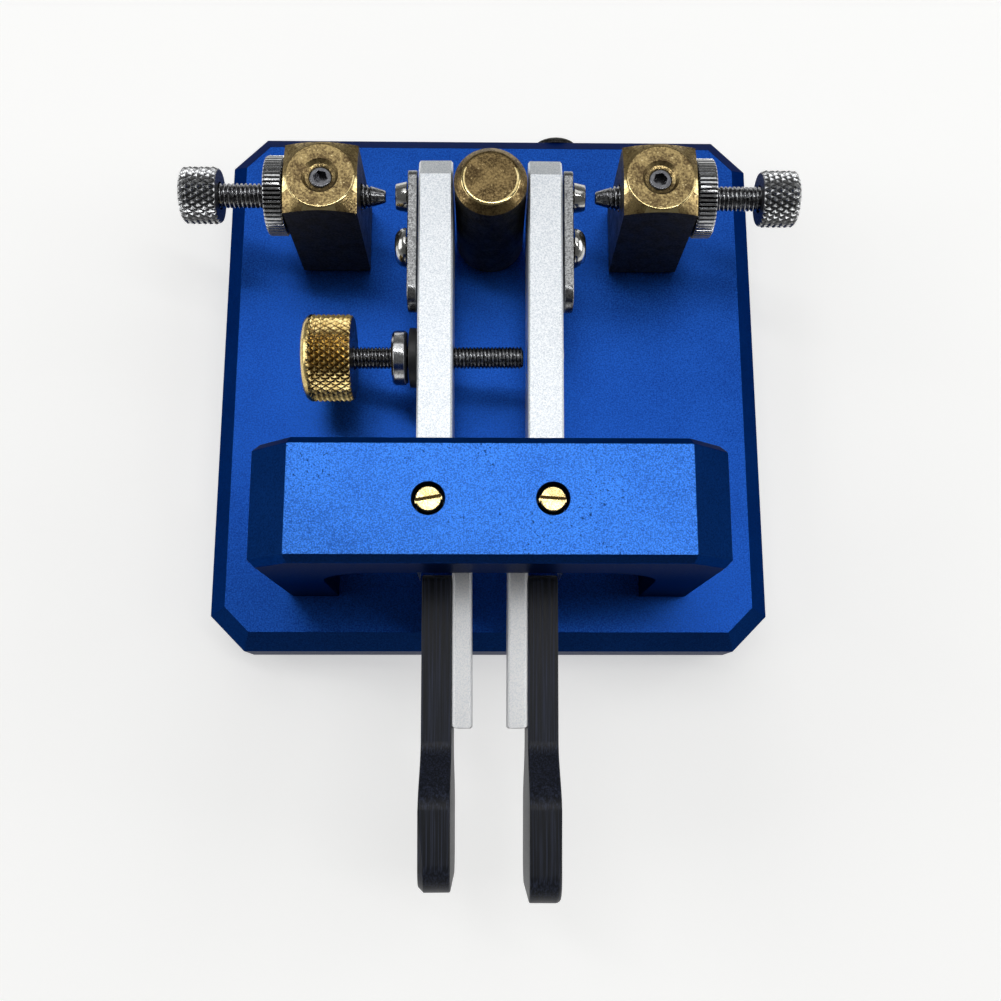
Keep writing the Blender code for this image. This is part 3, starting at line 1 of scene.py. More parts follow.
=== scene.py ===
# Looks for a double paddle morse key: blasted blue and clear anodised aluminium,
# tarnished brass posts, knurled steel and brass knobs, black finger plates.
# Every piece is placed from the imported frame, in metres.

import json
import math

import bmesh
import bpy
from mathutils import Matrix, Vector


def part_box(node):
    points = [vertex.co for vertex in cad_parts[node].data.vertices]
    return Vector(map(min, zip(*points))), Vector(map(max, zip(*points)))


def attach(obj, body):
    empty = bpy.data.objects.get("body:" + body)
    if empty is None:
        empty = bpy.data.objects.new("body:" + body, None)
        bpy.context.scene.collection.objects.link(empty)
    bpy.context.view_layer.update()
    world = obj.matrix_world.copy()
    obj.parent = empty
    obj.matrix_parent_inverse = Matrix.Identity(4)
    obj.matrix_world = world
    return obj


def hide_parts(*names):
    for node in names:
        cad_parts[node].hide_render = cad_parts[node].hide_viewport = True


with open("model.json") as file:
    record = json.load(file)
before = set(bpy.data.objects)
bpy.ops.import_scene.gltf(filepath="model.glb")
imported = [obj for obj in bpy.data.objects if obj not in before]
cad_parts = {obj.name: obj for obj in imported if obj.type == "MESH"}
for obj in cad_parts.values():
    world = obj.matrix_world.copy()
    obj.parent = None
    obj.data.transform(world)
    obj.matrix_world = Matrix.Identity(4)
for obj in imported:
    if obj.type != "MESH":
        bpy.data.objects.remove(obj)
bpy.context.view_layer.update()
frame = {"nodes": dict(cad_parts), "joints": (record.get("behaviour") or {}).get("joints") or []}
scene = bpy.context.scene
mm = 0.001
sides = (("left", -1), ("right", 1))

# Places read from the frame
joints = {joint["name"]: joint for joint in frame["joints"]}
pivots = {name: Vector(joints[name + "_paddle_hinge"]["pos_m"]) for name, side in sides}
rodAxis = joints["tension_feed"]["axis"]
restTurn = math.atan2(-rodAxis[1], -rodAxis[0])  # how far each arm is turned off the key's middle line


def middleOf(node):
    low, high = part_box(node)
    return (low + high) / 2


def put(name, data):
    thing = bpy.data.objects.new(name, data)
    scene.collection.objects.link(thing)
    return thing


def inMm(points):
    return [(a * mm, b * mm) for a, b in points]


def standPlace(node):
    # Origin in the middle of the node's underside.
    low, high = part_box(node)
    return Matrix.Translation(((low.x + high.x) / 2, (low.y + high.y) / 2, low.z))


def armPlace(name, side):
    # An arm's own frame: origin on the pivot's axis, at the bar's middle height.
    return Matrix.Translation(pivots[name]) @ Matrix.Rotation(-side * restTurn, 4, "Z")


def facing(side):
    # Turns what is made along Z to the left or right.
    return Matrix.Rotation(side * math.pi / 2, 4, "Y")


# Camera at the photograph's viewpoint
view = {
    "spot": (-0.71 * mm, -36.88 * mm, 170.27 * mm),
    "pitch": 78.05,  # degrees below the horizon
    "yaw": 3.96,  # degrees to the right of +Y
    "roll": 4.03,
    "focalPixels": 1111.57,
    "framePixels": 1001,
    "sensor": 36.0,
}


def makeCamera():
    pitch, yaw, roll = (math.radians(view[key]) for key in ("pitch", "yaw", "roll"))
    ahead = Vector((math.sin(yaw) * math.cos(pitch), math.cos(yaw) * math.cos(pitch), -math.sin(pitch)))
    right = Vector((math.cos(yaw), -math.sin(yaw), 0))
    up = right.cross(ahead)
    across = right * math.cos(roll) + up * math.sin(roll)
    above = up * math.cos(roll) - right * math.sin(roll)
    data = bpy.data.cameras.new("camera")
    data.sensor_width = view["sensor"]
    data.lens = view["focalPixels"] * view["sensor"] / view["framePixels"]
    data.clip_start = 0.001
    camera = put("camera", data)
    turned = Matrix((across, above, -ahead)).transposed().to_4x4()
    camera.matrix_world = Matrix.Translation(view["spot"]) @ turned
    scene.camera = camera


makeCamera()
print("camera in place")


# Materials


def hexToLinear(code):
    levels = []
    for start in (0, 2, 4):
        level = int(code[start:start + 2], 16) / 255
        levels.append(level / 12.92 if level <= 0.04045 else ((level + 0.055) / 1.055) ** 2.4)
    return (*levels, 1.0)


def fill(material, node, sockets):
    # A socket takes a number, a hex colour, another node's output, or a node for its first output in use.
    for name, value in sockets.items():
        if isinstance(value, bpy.types.Node):
            value = next(output for output in value.outputs if output.enabled)
        if isinstance(value, bpy.types.NodeSocket):
            material.node_tree.links.new(value, node.inputs[name])
        else:
            node.inputs[name].default_value = hexToLinear(value) if isinstance(value, str) else value


def addNode(material, kind, sockets=None, **settings):
    # Adds one shader node with its settings and links.
    node = material.node_tree.nodes.new("ShaderNode" + kind)
    for name, value in settings.items():
        setattr(node, name, value)
    fill(material, node, sockets or {})
    return node


def startMaterial(name):
    # A new material with its shader and the object's own coordinates.
    material = bpy.data.materials.new(name)
    material.use_nodes = True
    coords = addNode(material, "TexCoord").outputs["Object"]
    return material, material.node_tree.nodes["Principled BSDF"], coords


def span(end, pair):
    # The From or To sockets of a map range node.
    return {end + " Min": pair[0], end + " Max": pair[1]}


def perMm(size):
    # Texture scale for a feature of so many millimetres.
    return 1 / (size * mm)


def pitShare(material, coords, depth):
    # How dark the pits are: small spots, and only in some patches.
    spots = addNode(material, "TexNoise", {"Vector": coords, "Scale": perMm(pit["size"]), "Detail": 1.0})
    patches = addNode(material, "TexNoise", {"Vector": coords, "Scale": perMm(pit["patch"]), "Detail": 1.0})
    sparse = addNode(material, "MapRange", {"Value": spots, **span("From", pit["spots"]), "To Max": depth})
    where = addNode(material, "MapRange", {"Value": patches, **span("From", pit["patches"])})
    return addNode(material, "Math", {0: sparse, 1: where}, operation="MULTIPLY")


grooveShadeLine = {"share": 0.45, "edge": 0.1}  # of a groove's depth, down from its crest; mm at the rim


def withGrooveShade(material, coords, size, grooveShade, tint):
    # Painted shade down in a knurl's grooves, and none on its crests and along the plain rim.
    parts = addNode(material, "SeparateXYZ", {0: coords})
    flat = addNode(material, "CombineXYZ", {0: parts.outputs["X"], 1: parts.outputs["Y"]})
    reach = addNode(material, "VectorMath", {0: flat}, operation="LENGTH")
    crest = addNode(material, "MapRange", {
        "Value": reach, "From Min": (size["radius"] - size["depth"]) * mm,
        "From Max": (size["radius"] - grooveShadeLine["share"] * size["depth"]) * mm,
    })
    rim = addNode(material, "MapRange", {
        "Value": parts.outputs["Z"],
        "From Min": (size["plainFrom"] - grooveShadeLine["edge"]) * mm, "From Max": size["plainFrom"] * mm,
    })
    share = addNode(material, "Math", {0: crest, 1: rim}, operation="MAXIMUM")
    return addNode(material, "Mix", {"Factor": share, "A": grooveShade, "B": tint}, data_type="RGBA")


# Brass: CZ121 bar, turned or milled and left bare, so it has dulled. Handling and
# chips have left small bright nicks and dark specks in the tarnish.
brassLook = {
    "tarnishAndShade": "64533a",
    "metal": "b39d6c",
    "bright": "f2e2b4",
    "speck": 0.30,  # mm, a nick's size
    "patch": 2.4,  # mm, blotches in the tarnish
    "toolMark": 0.40,  # mm between the cutter's rings
    "nick": 0.66, "nickEdge": 0.05,  # noise levels where a nick comes in
    "span": (0.82, 1.14), "roughSpan": (0.80, 1.20),  # the noise's levels from tarnish to metal
    "dent": 0.004,  # mm
    "fine": 0.5,  # share of the nicks in the dents between the rings
    "roughness": 0.30, "duller": 0.10, "glossier": 0.06,
}
# The knob and the pivots are handled and stay cleaner, with painted shade in the knurl.
knobBrassLook = {
    **brassLook, "tarnishAndShade": "bb9e5e", "metal": "e8d294", "bright": "fff0c0", "speck": 0.25, "patch": 2.0,
    "nick": 0.72, "dent": 0.0006, "roughness": 0.20, "grooveShade": "6e5230",
}


def makeBrass(name, look, turned=False, knurl=None):
    material, shader, coords = startMaterial(name)
    patch = addNode(material, "TexNoise", {
        "Vector": coords, "Scale": perMm(look["patch"]), "Detail": 4.0, "Roughness": 0.6,
    })
    speck = addNode(material, "TexNoise", {
        "Vector": coords, "Scale": perMm(look["speck"]), "Detail": 3.0, "Roughness": 0.7,
    })
    blend = addNode(material, "Math", {0: patch, 1: speck}, operation="ADD")
    share = addNode(material, "MapRange", {"Value": blend, **span("From", look["span"])})
    tint = addNode(material, "Mix", {
        "Factor": share, "A": look["tarnishAndShade"], "B": look["metal"],
    }, data_type="RGBA")
    nicks = addNode(material, "MapRange", {
        "Value": speck, "From Min": look["nick"], "From Max": look["nick"] + look["nickEdge"],
    })
    tint = addNode(material, "Mix", {"Factor": nicks, "A": tint, "B": look["bright"]}, data_type="RGBA")
    # painted shade in the knurl's grooves
    if knurl:
        tint = withGrooveShade(material, coords, knurl, look["grooveShade"], tint)
    rough = addNode(material, "MapRange", {
        "Value": blend, **span("From", look["roughSpan"]),
        "To Min": look["roughness"] + look["duller"], "To Max": look["roughness"] - look["glossier"],
    })
    height = speck
    if turned:
        rings = addNode(material, "TexWave", {
            "Vector": coords, "Scale": perMm(look["toolMark"]) * math.pi / 10, "Distortion": 0.8,
            "Detail": 2.0, "Detail Scale": 3.0,
        }, wave_type="RINGS", rings_direction="Z").outputs["Fac"]
        fine = addNode(material, "Math", {0: speck, 1: look["fine"]}, operation="MULTIPLY")
        height = addNode(material, "Math", {0: rings, 1: fine}, operation="ADD")
    dents = addNode(material, "Bump", {"Height": height, "Distance": look["dent"] * mm})
    fill(material, shader, {"Base Color": tint, "Roughness": rough, "Normal": dents, "Metallic": 1.0})
    return material


usual = (0.3, 0.7)  # nearly all of a noise lies between these


def makeGrained(name, look, knurl=None):
    # Two shades shared out by a fine grain, which also dents the surface.
    material, shader, coords = startMaterial(name)
    where, scale = coords, perMm(look["grain"])
    if "length" in look:  # the grain drawn out into scratches along Y
        where = addNode(material, "Mapping", {
            "Vector": coords, "Scale": (scale, perMm(look["length"]), scale),
        })
        scale = 1.0
    grain = addNode(material, "TexNoise", {
        "Vector": where, "Scale": scale, "Detail": look["detail"], "Roughness": look["breakUp"],
    })
    spread = look.get("spread", 0.0)
    share = addNode(material, "MapRange", {
        "Value": grain, **span("From", look["span"]), **span("To", (-spread, 1 + spread)),
    })
    if "cloud" in look:
        cloud = addNode(material, "TexNoise", {
            "Vector": coords, "Scale": perMm(look["cloud"]), "Detail": 3.0,
        })
        drift = addNode(material, "MapRange", {
            "Value": cloud, **span("From", usual), **span("To", look["drift"]),
        })
        share = addNode(material, "Math", {0: share, 1: drift}, operation="ADD", use_clamp=True)
    tint = addNode(material, "Mix", {
        "Factor": share, "A": look["deep"], "B": look["lit"],
    }, data_type="RGBA")
    # painted shade in the knurl's grooves
    if knurl:
        tint = withGrooveShade(material, coords, knurl, look["grooveShade"], tint)
    if "pits" in look:
        tint = addNode(material, "Mix", {
            "Factor": pitShare(material, coords, look["pits"]), "A": tint, "B": pit["shade"],
        }, data_type="RGBA")
    rough = look["roughness"]
    if isinstance(rough, tuple):
        rough = addNode(material, "MapRange", {"Value": grain, **span("From", usual), **span("To", rough)})
    height = grain
    if "wave" in look:  # the grain is only faint on the waves
        waves = addNode(material, "TexNoise", {
            "Vector": coords, "Scale": perMm(look["wave"]), "Detail": 2.0,
        })
        fine = addNode(material, "Math", {0: grain, 1: look["fine"]}, operation="MULTIPLY")
        height = addNode(material, "Math", {0: waves, 1: fine}, operation="ADD")
    dents = addNode(material, "Bump", {
        "Height": height, "Distance": look["dent"] * mm, "Strength": look["strength"],
    })
    own = {name: look[name] for name in ("IOR", "Specular IOR Level", "Specular Tint") if name in look}
    fill(material, shader, {
        "Base Color": tint, "Roughness": rough, "Normal": dents, "Metallic": look["metallic"], **own,
    })
    return material


# In these looks grain, cloud, wave, length and dent are in mm. detail and breakUp shape the
# noise, and span is the part of it that goes from deep to lit, spread a little past both.
# Two roughnesses go with it from the smooth to the coarse places.

# Blue: aluminium 6061, bead blasted, then anodised and dyed. The blast leaves a fine
# dimpled grain, and the dyed oxide a satin sheen over it.
blueLook = {
    "deep": "143c8e", "lit": "225bbe",
    "grain": 0.22,  # across a blast dimple, drawn coarser than real so that it shows
    "cloud": 9.0, "drift": (-0.12, 0.12),  # faint unevenness in the dye
    "detail": 2.0, "breakUp": 0.6, "span": (0.30, 0.70), "spread": 0.15, "dent": 0.012, "strength": 0.6,
    "metallic": 1.0, "roughness": (0.33, 0.46),
}
# The bridge was blasted with coarser grit, so it sparkles more, and it has small dark pits. Its blue, lighter
# than the base's, is a painted highlight.
bridgeLook = {
    **blueLook, "deep": "2351a6", "lit": "468df6", "grain": 0.19, "cloud": 7.0, "span": (0.32, 0.68),
    "dent": 0.02, "pits": 0.9,
}
# Milled chamfers and sides: smoother, and given a deeper blue with a duller gloss at a slant, which is
# painted shade.
paintedShadeSideLook = {
    **blueLook, "deep": "0a2450", "lit": "113471", "span": (0.25, 0.75), "dent": 0.006,
    "roughness": (0.29, 0.42), "Specular Tint": "a8a8a8",
}
pit = {
    "size": 0.42, "patch": 7.0,  # mm
    "shade": "0c2656", "spots": (0.65, 0.68), "patches": (0.55, 0.60),  # noise levels where they come in
}
# Clear: the same aluminium blasted with coarser grit and clear anodised, near white.
clearLook = {
    "deep": "c6ced6", "lit": "f6f9fc", "grain": 0.18, "detail": 2.0, "breakUp": 0.65, "span": (0.32, 0.62),
    "dent": 0.010, "strength": 0.6, "metallic": 0.85, "roughness": 0.40,
}
# The carriers are painted whiter and less of a mirror than the arms, which is painted light.
paintedLightStripLook = {**clearLook, "deep": "eaeef2", "lit": "ffffff", "metallic": 0.30, "roughness": 0.45}
# Steel: free-cutting steel, knurled and nickel plated, with painted shade in the grooves.
steelLook = {
    "deep": "b2b3b5", "lit": "d8d9da", "grooveShade": "46484c", "grain": 0.30, "detail": 3.0, "breakUp": 0.6,
    "span": (0.35, 0.65), "dent": 0.0005, "strength": 1.0, "metallic": 1.0, "roughness": 0.20,
}
# Nickel: stamped brass strip and turned pins, barrel polished into soft waves and bright plated.
nickelLook = {
    "deep": "b4b4b2", "lit": "d8d8d4", "grain": 0.25, "wave": 2.2, "fine": 0.02, "detail": 3.0,
    "breakUp": 0.7, "span": (0.30, 0.70), "dent": 0.09, "strength": 1.0, "metallic": 1.0, "roughness": 0.16,
}
# Black plastic: cast acrylic sheet, sawn and filed by hand. Its sawn edges keep fine
# lengthwise scratches that catch the light, and its faces are satin.
plateLook = {
    "deep": "12151c", "lit": "363c50", "grain": 0.18, "length": 14.0, "detail": 3.0, "breakUp": 0.6,
    "span": (0.45, 0.75), "dent": 0.03, "strength": 0.5, "metallic": 0.0, "roughness": (0.34, 0.57),
    "IOR": 1.49, "Specular IOR Level": 0.3,
}
# Blackened steel: oil-blacked socket screws, brown-black with worn edges.
blackSteelLook = {
    "deep": "1b1b1c", "lit": "4a4845", "grain": 0.25, "detail": 3.0, "breakUp": 0.5, "span": (0.45, 0.75),
    "dent": 0.01, "strength": 0.4, "metallic": 0.9, "roughness": 0.36,
}
# Nylon and other smooth moulded or dipped finishes, with a soft satin gloss.
plasticLook = {
    "deep": "17181a", "lit": "26282b", "grain": 0.5, "detail": 3.0, "breakUp": 0.5, "span": (0.0, 1.0),
    "dent": 0.02, "strength": 0.4, "metallic": 0.0, "roughness": 0.45, "IOR": 1.53,
}
# Moulded rubber is dull all over, and vulcanised fibre has a reddish, papery face.
rubberLook = {**plasticLook, "deep": "141414", "lit": "242424", "grain": 0.4, "roughness": 0.85, "IOR": 1.52}
fibreLook = {**plasticLook, "deep": "5a2317", "lit": "7a3524", "grain": 0.3, "roughness": 0.70, "IOR": 1.50}
leadShades = (("red", "a31510", "b9251c"), ("yellow", "c99a12", "dcb02a"), ("black", "101010", "1c1c1c"))

blue = makeGrained("blueAnodisedAluminium", blueLook)
bridgeBlue = makeGrained("blueAnodisedBridge", bridgeLook)
paintedShadeSideBlue = makeGrained("blueAnodisedSidesPaintedShade", paintedShadeSideLook)
turnedBrass = makeBrass("turnedBrass", brassLook, turned=True)
pivotBrass = makeBrass("facedBrass", {**knobBrassLook, "tarnishAndShade": "bfa970", "metal": "d3bd86"})
# Rubbed brass: polished smooth and lighter, put only on the rims' operator side, which is a painted
# highlight.
rubbedBrassPaintedHighlight = makeBrass("rubbedBrassPaintedHighlight", {
    **brassLook, "tarnishAndShade": "d8c084", "metal": "f2e0a8", "dent": 0.0003, "roughness": 0.12,
})
dullBrass = makeBrass("dulledBrass", {**brassLook, "tarnishAndShade": "4a3c28", "metal": "8f7a52"}, turned=True)
# The tension knob's inner face: a near-black brass, which is painted shade.
paintedShadeBrass = makeBrass("knobFaceBrassPaintedShade", {**brassLook, "tarnishAndShade": "2e2618", "metal": "54462c"}, turned=True)
# The posts' sides: a darker, duller brass, which is painted shade.
paintedShadeSideBrass = makeBrass("brassSidesPaintedShade", {
    **brassLook, "tarnishAndShade": "3c3a34", "metal": "5c5950", "nick": 0.90, "dent": 0.002, "roughness": 0.48,
})
clear = makeGrained("clearAnodisedAluminium", clearLook)
paintedLightStrip = makeGrained("clearAnodisedStripPaintedLight", paintedLightStripLook)
plated = makeGrained("platedSteel", steelLook)
threadSteel = makeGrained("threadedSteel", {**steelLook, "deep": "3a3b40", "lit": "b2b3b5"})
socketSteel = makeGrained("socketSteel", {**steelLook, "deep": "606166", "lit": "77787b", "roughness": 0.22})
# The contact knobs' inner faces: dark, dull steel, which is painted shade.
paintedShadeSteel = makeGrained("knobFaceSteelPaintedShade", {**steelLook, "deep": "3a3b40", "lit": "77787b", "roughness": 0.50})
nickel = makeGrained("brightNickelPlate", nickelLook)
dullNickel = makeGrained("barrelledNickelPlate", {
    **nickelLook, "deep": "4c4d4f", "lit": "bcbdbe", "roughness": 0.26,
})
blackPlate = makeGrained("blackCastAcrylic", plateLook)
blackSteel = makeGrained("blackenedSteel", blackSteelLook)
nylon = makeGrained("mouldedNylon", plasticLook)
rubber = makeGrained("mouldedRubber", rubberLook)
fibre = makeGrained("vulcanisedFibre", fibreLook)
leads = {}
for dye, deep, lit in leadShades:
    leads[dye] = makeGrained(dye + "Insulation", {**plasticLook, "deep": deep, "lit": lit, "grain": 0.6})
print("materials made")


# Modelling helpers

over = 1 * mm  # how far a cutter stands out of what it cuts
cornerShare = 0.45  # the most of a line that one corner takes
crisp = 40  # degrees: blunter edges of small pieces stay as they are


def newPiece(node, mesh, material, body, place=None, smoothAngle=35):
    # The visible piece that takes a CAD node's place and rides its body.
    piece = put(node + "_look", mesh)
    mesh.materials.clear()
    mesh.materials.append(material)
    mesh.shade_smooth()
    mesh.set_sharp_from_angle(angle=math.radians(smoothAngle))
    if place is not None:
        piece.matrix_world = place
    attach(piece, body)
    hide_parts(node)
    weighted = piece.modifiers.new("evenShading", "WEIGHTED_NORMAL")
    weighted.keep_sharp = True
    return piece


def newMesh(bm, name):
    mesh = bpy.data.meshes.new(name)
    bm.to_mesh(mesh)
    bm.free()
    return mesh


def merge(bm, distance):
    # Merging leaves a new order each run, and later cuts follow it, so the order is set by place.
    bmesh.ops.remove_doubles(bm, verts=bm.verts, dist=distance * mm)
    for parts in (bm.verts, bm.edges, bm.faces):
        places = {}
        for part in parts:
            corners = getattr(part, "verts", [part])
            centre = sum((vert.co for vert in corners), Vector()) / len(corners)
            places[part] = [round(value / mm, 4) for value in centre]
        ranks = {part: rank for rank, part in enumerate(sorted(places, key=places.get))}
        parts.sort(key=ranks.get)


def meshFrom(bm, name, merged=True):
    if merged:
        merge(bm, 0.0001)
    bmesh.ops.recalc_face_normals(bm, faces=bm.faces)
    return newMesh(bm, name)


def softPath(points, radius, steps=3, closed=False):
    # Rounds the corners of a path of 2-D points. A point may carry its own radius third.
    result = []
    count = len(points)
    for index, point in enumerate(points):
        here = Vector(point[:2])
        own = point[2] if len(point) > 2 else radius
        if own == 0 or (not closed and index in (0, count - 1)):
            result.append(tuple(here))
            continue
        before = Vector(points[index - 1][:2]) - here
        after = Vector(points[(index + 1) % count][:2]) - here
        reach = min(own, cornerShare * min(before.length, after.length))
        start = here + before.normalized() * reach
        end = here + after.normalized() * reach
        for step in range(steps + 1):
            share = step / steps
            low = start.lerp(here, share)
            high = here.lerp(end, share)
            result.append(tuple(low.lerp(high, share)))
    return result


def lathe(name, profile, segments=96):
    # Turns (radius, height) points about Z. It closes on the axis, or round a bore.
    bm = bmesh.new()
    verts = [bm.verts.new((radius, 0, height)) for radius, height in profile]
    edges = [bm.edges.new(pair) for pair in zip(verts, verts[1:])]
    if profile[0][0] > 0:
        edges.append(bm.edges.new((verts[-1], verts[0])))
    bmesh.ops.spin(
        bm, geom=verts + edges, cent=(0, 0, 0), axis=(0, 0, 1),
        angle=2 * math.pi, steps=segments, use_merge=True,
    )
    return meshFrom(bm, name)


def prism(name, outline, low, high, plane):
    # Pushes an outline from low to high along the axis that its plane leaves out.
    places = {"XY": lambda a, b, c: (a, b, c), "YZ": lambda a, b, c: (c, a, b)}
    bm = bmesh.new()
    near, far = ([bm.verts.new(places[plane](a, b, level)) for a, b in outline] for level in (low, high))
    bm.faces.new(near)
    bm.faces.new(far)
    count = len(near)
    for index in range(count):
        following = (index + 1) % count
        bm.faces.new((near[index], near[following], far[following], far[index]))
    return meshFrom(bm, name)


def carve(mesh, cutters, operation="DIFFERENCE"):
    # Cuts meshes from a mesh, one after another, and gives the new mesh.
    target = put("carved", mesh)
    helpers = []
    for cutter in cutters:
        helpers.append(put("cutter", cutter))
        modifier = target.modifiers.new("cut", "BOOLEAN")
        modifier.operation = operation
        modifier.solver = "EXACT"
        modifier.object = helpers[-1]
    bpy.context.view_layer.update()
    shown = target.evaluated_get(bpy.context.evaluated_depsgraph_get())
    result = bpy.data.meshes.new_from_object(shown)
    for helper in helpers + [target]:
        bpy.data.objects.remove(helper)
    return result


def roundEdges(bm, edges, width, segments, clamp=False):
    bmesh.ops.bevel(
        bm, geom=edges, offset=width * mm, offset_type="OFFSET", segments=segments, profile=0.5,
        affect="EDGES", clamp_overlap=clamp,
    )


def soften(mesh, width, segments=2, angle=25):
    # Rounds a mesh's sharp edges by some mm, as blasting and handling do.
    bm = bmesh.new()
    bm.from_mesh(mesh)
    merge(bm, 0.001)
    bmesh.ops.dissolve_limit(bm, angle_limit=math.radians(1), verts=bm.verts, edges=bm.edges)
    sharp = [edge for edge in bm.edges
             if edge.is_manifold and edge.calc_face_angle() > math.radians(angle)]
    roundEdges(bm, sharp, width, segments, clamp=True)
    return newMesh(bm, mesh.name)


def retouched(node, material, body, width, mesh=None):
    # The CAD node's own shape with softened edges.
    return newPiece(node, soften(mesh or frame["nodes"][node].data, width), material, body)


def secondFinish(piece, material, chosen):
    # Gives some faces of a piece a finish of their own.
    piece.data.materials.append(material)
    for face in piece.data.polygons:
        if chosen(face):
            face.material_index = len(piece.data.materials) - 1


def upright(face):
    return abs(face.normal.z) < 0.3


def innerFace(face):
    # A knob's sawn face, which looks back along its screw. It gets a darker finish, which is painted shade.
    return face.normal.z < -0.9


def shifted(node, place, axis, level, distance):
    # A CAD node's mesh with the face at one level of its own frame moved a little, in mm.
    mesh = frame["nodes"][node].data.copy()
    mesh.transform(place.inverted())
    for vertex in mesh.vertices:
        if abs(vertex.co[axis] - level * mm) < 0.05 * mm:
            vertex.co[axis] += distance * mm
    mesh.transform(place)
    return mesh


def moved(mesh, place):
    mesh.transform(place)
    return mesh


def cylinder(radius, low, high, segments=48):
    return lathe("cutter", [(0, low), (radius, low), (radius, high), (0, high)], segments)


def gridShell(name, rings, caps=True):
    # Joins rings of points into a skin, closed at both ends or, without caps, in a loop.
    bm = bmesh.new()
    rows = [[bm.verts.new(point) for point in ring] for ring in rings]
    count = len(rings[0])
    for lower, upper in zip(rows, rows[1:]):
        for column in range(count):
            following = (column + 1) % count
            bm.faces.new((lower[column], lower[following], upper[following], upper[column]))
    if caps:
        bm.faces.new(rows[0])
        bm.faces.new(rows[-1])
    return meshFrom(bm, name, merged=not caps)


def ring(columns, height, reachAt):
    points = []
    for column in range(columns):
        angle = 2 * math.pi * column / columns
        reach = reachAt(angle)
        points.append((reach * math.cos(angle), reach * math.sin(angle), height))
    return points


def rectangle(halfX, halfY):
    return [(-halfX, -halfY), (halfX, -halfY), (halfX, halfY), (-halfX, halfY)]


def quarterTurn(steps):
    return [math.pi / 2 * step / steps for step in range(steps + 1)]


def arc(centre, radius, start, end, steps):
    points = []
    for step in range(steps + 1):
        angle = math.radians(start + (end - start) * step / steps)
        points.append((centre[0] + radius * math.cos(angle), centre[1] + radius * math.sin(angle)))
    return points


def hexPrism(flats, low, high):
    outer = flats / 2 / math.cos(math.pi / 6)
    return prism("socket", arc((0, 0), outer, 0, 300, 5), low, high, "XY")


def threadedRod(name, low, high, size, envelope):
    # A rod along Z with a real helical thread. The envelope trims it to a cone or chamfer,
    # and says how much of the thread is left there.
    radius, pitch, depth = (size[key] * mm for key in ("radius", "pitch", "depth"))
    rows = max(4, round((high - low) / pitch * size["rowsPerTurn"]))

    def surface(height):
        def reachAt(angle):
            phase = (height / pitch - angle / (2 * math.pi)) % 1.0
            ridge = 1 - abs(2 * phase - 1)  # 0 in the groove, 1 on the crest
            flank = min(1.0, ridge * size["flank"])  # 1 all along the flat of the crest
            limit, left = envelope(height)
            return min(radius, limit) - left * depth * (1 - flank)
        return reachAt

    heights = [low + (high - low) * row / rows for row in range(rows + 1)]
    return gridShell(name, [ring(size["columns"], height, surface(height)) for height in heights])


def knurledKnob(name, size):
    # A barrel with two families of crossing helical grooves, trimmed by its chamfers.
    # Heights run outward from the inner face. A plain rim band may follow the knurl.
    count, pitch, depth = size["diamonds"], size["pitch"] * mm, size["depth"] * mm
    radius, length = size["radius"] * mm, size["length"] * mm
    inner = size["innerChamfer"] * mm
    rimAlong, rimIn = size["rimAlong"] * mm, size["rimIn"] * mm
    columns = count * size["fineness"]
    knurlEnd = length - size["band"] * mm
    rimSteps = 10

    def groove(phase):
        share = abs((phase % 1.0) - 0.5) * 2  # 0 at the groove's floor
        return max(0.0, 1 - share / size["grooveShare"])

    def reachAtHeight(height):
        fromInner = radius - inner + min(inner, height)
        rimShare = min(1.0, max(0.0, (height - length + rimAlong) / rimAlong))
        fromOuter = radius - rimIn * (1 - math.sqrt(1 - rimShare ** 2))
        limit = min(fromInner, fromOuter)
        fade = min(1.0, max(0.0, (knurlEnd - height) / (size["fade"] * mm)))

        def reachAt(angle):
            around = count * angle / (2 * math.pi)
            along = height / pitch
            deep = max(groove(around + along), groove(around - along)) * fade
            return min(limit, radius - depth * deep)
        return reachAt

    plainEnd = length - rimAlong
    rows = round(plainEnd / (pitch / size["rowsPerPitch"]))
    heights = [plainEnd * row / rows for row in range(rows)]
    heights += [plainEnd + rimAlong * math.sin(turn) for turn in quarterTurn(rimSteps)]
    bore = size["bore"] * mm
    rings = [ring(columns, level, lambda angle: bore) for level in (size["boreDepth"] * mm, 0)]
    rings += [ring(columns, height, reachAtHeight(height)) for height in heights]
    return gridShell(name, rings)


def turnedDisc(name, size):
    # A chamfered disc, round a bore where it has one.
    radius, cut, length, bore = (size[key] for key in ("radius", "chamfer", "length", "bore"))
    profile = softPath([
        (bore, 0), (radius - cut, 0), (radius, cut), (radius, length - cut), (radius - cut, length),
        (bore, length),
    ], size["round"], 3)
    return lathe(name, inMm(profile), size["segments"])


print("helpers ready")


# Base plate and bridge, and what keeps its CAD shape: node, finish, slot, softened edge in mm

basePieces = [
    ("centre_post_screw", blackSteel, "black_steel", 0.10),
    ("jack_body", nylon, "black_plastic", 0.12),
    ("jack_nut", blackSteel, "black_steel", 0.08),
    ("left_lead", leads["red"], "red_lead", 0.05),
    ("right_lead", leads["yellow"], "yellow_lead", 0.05),
    ("earth_lead", leads["black"], "black_lead", 0.05),
]
for name, side in sides:
    basePieces += [
        (name + "_bridge_screw", blackSteel, "black_steel", 0.10),
        (name + "_post_screw", plated, "steel", 0.10),
        (name + "_post_bush", nylon, "black_plastic", 0.05),
        (name + "_post_washer", fibre, "fibre", 0.05),
    ]
flatTop = 0.97  # faces that look up less than this are milled sides


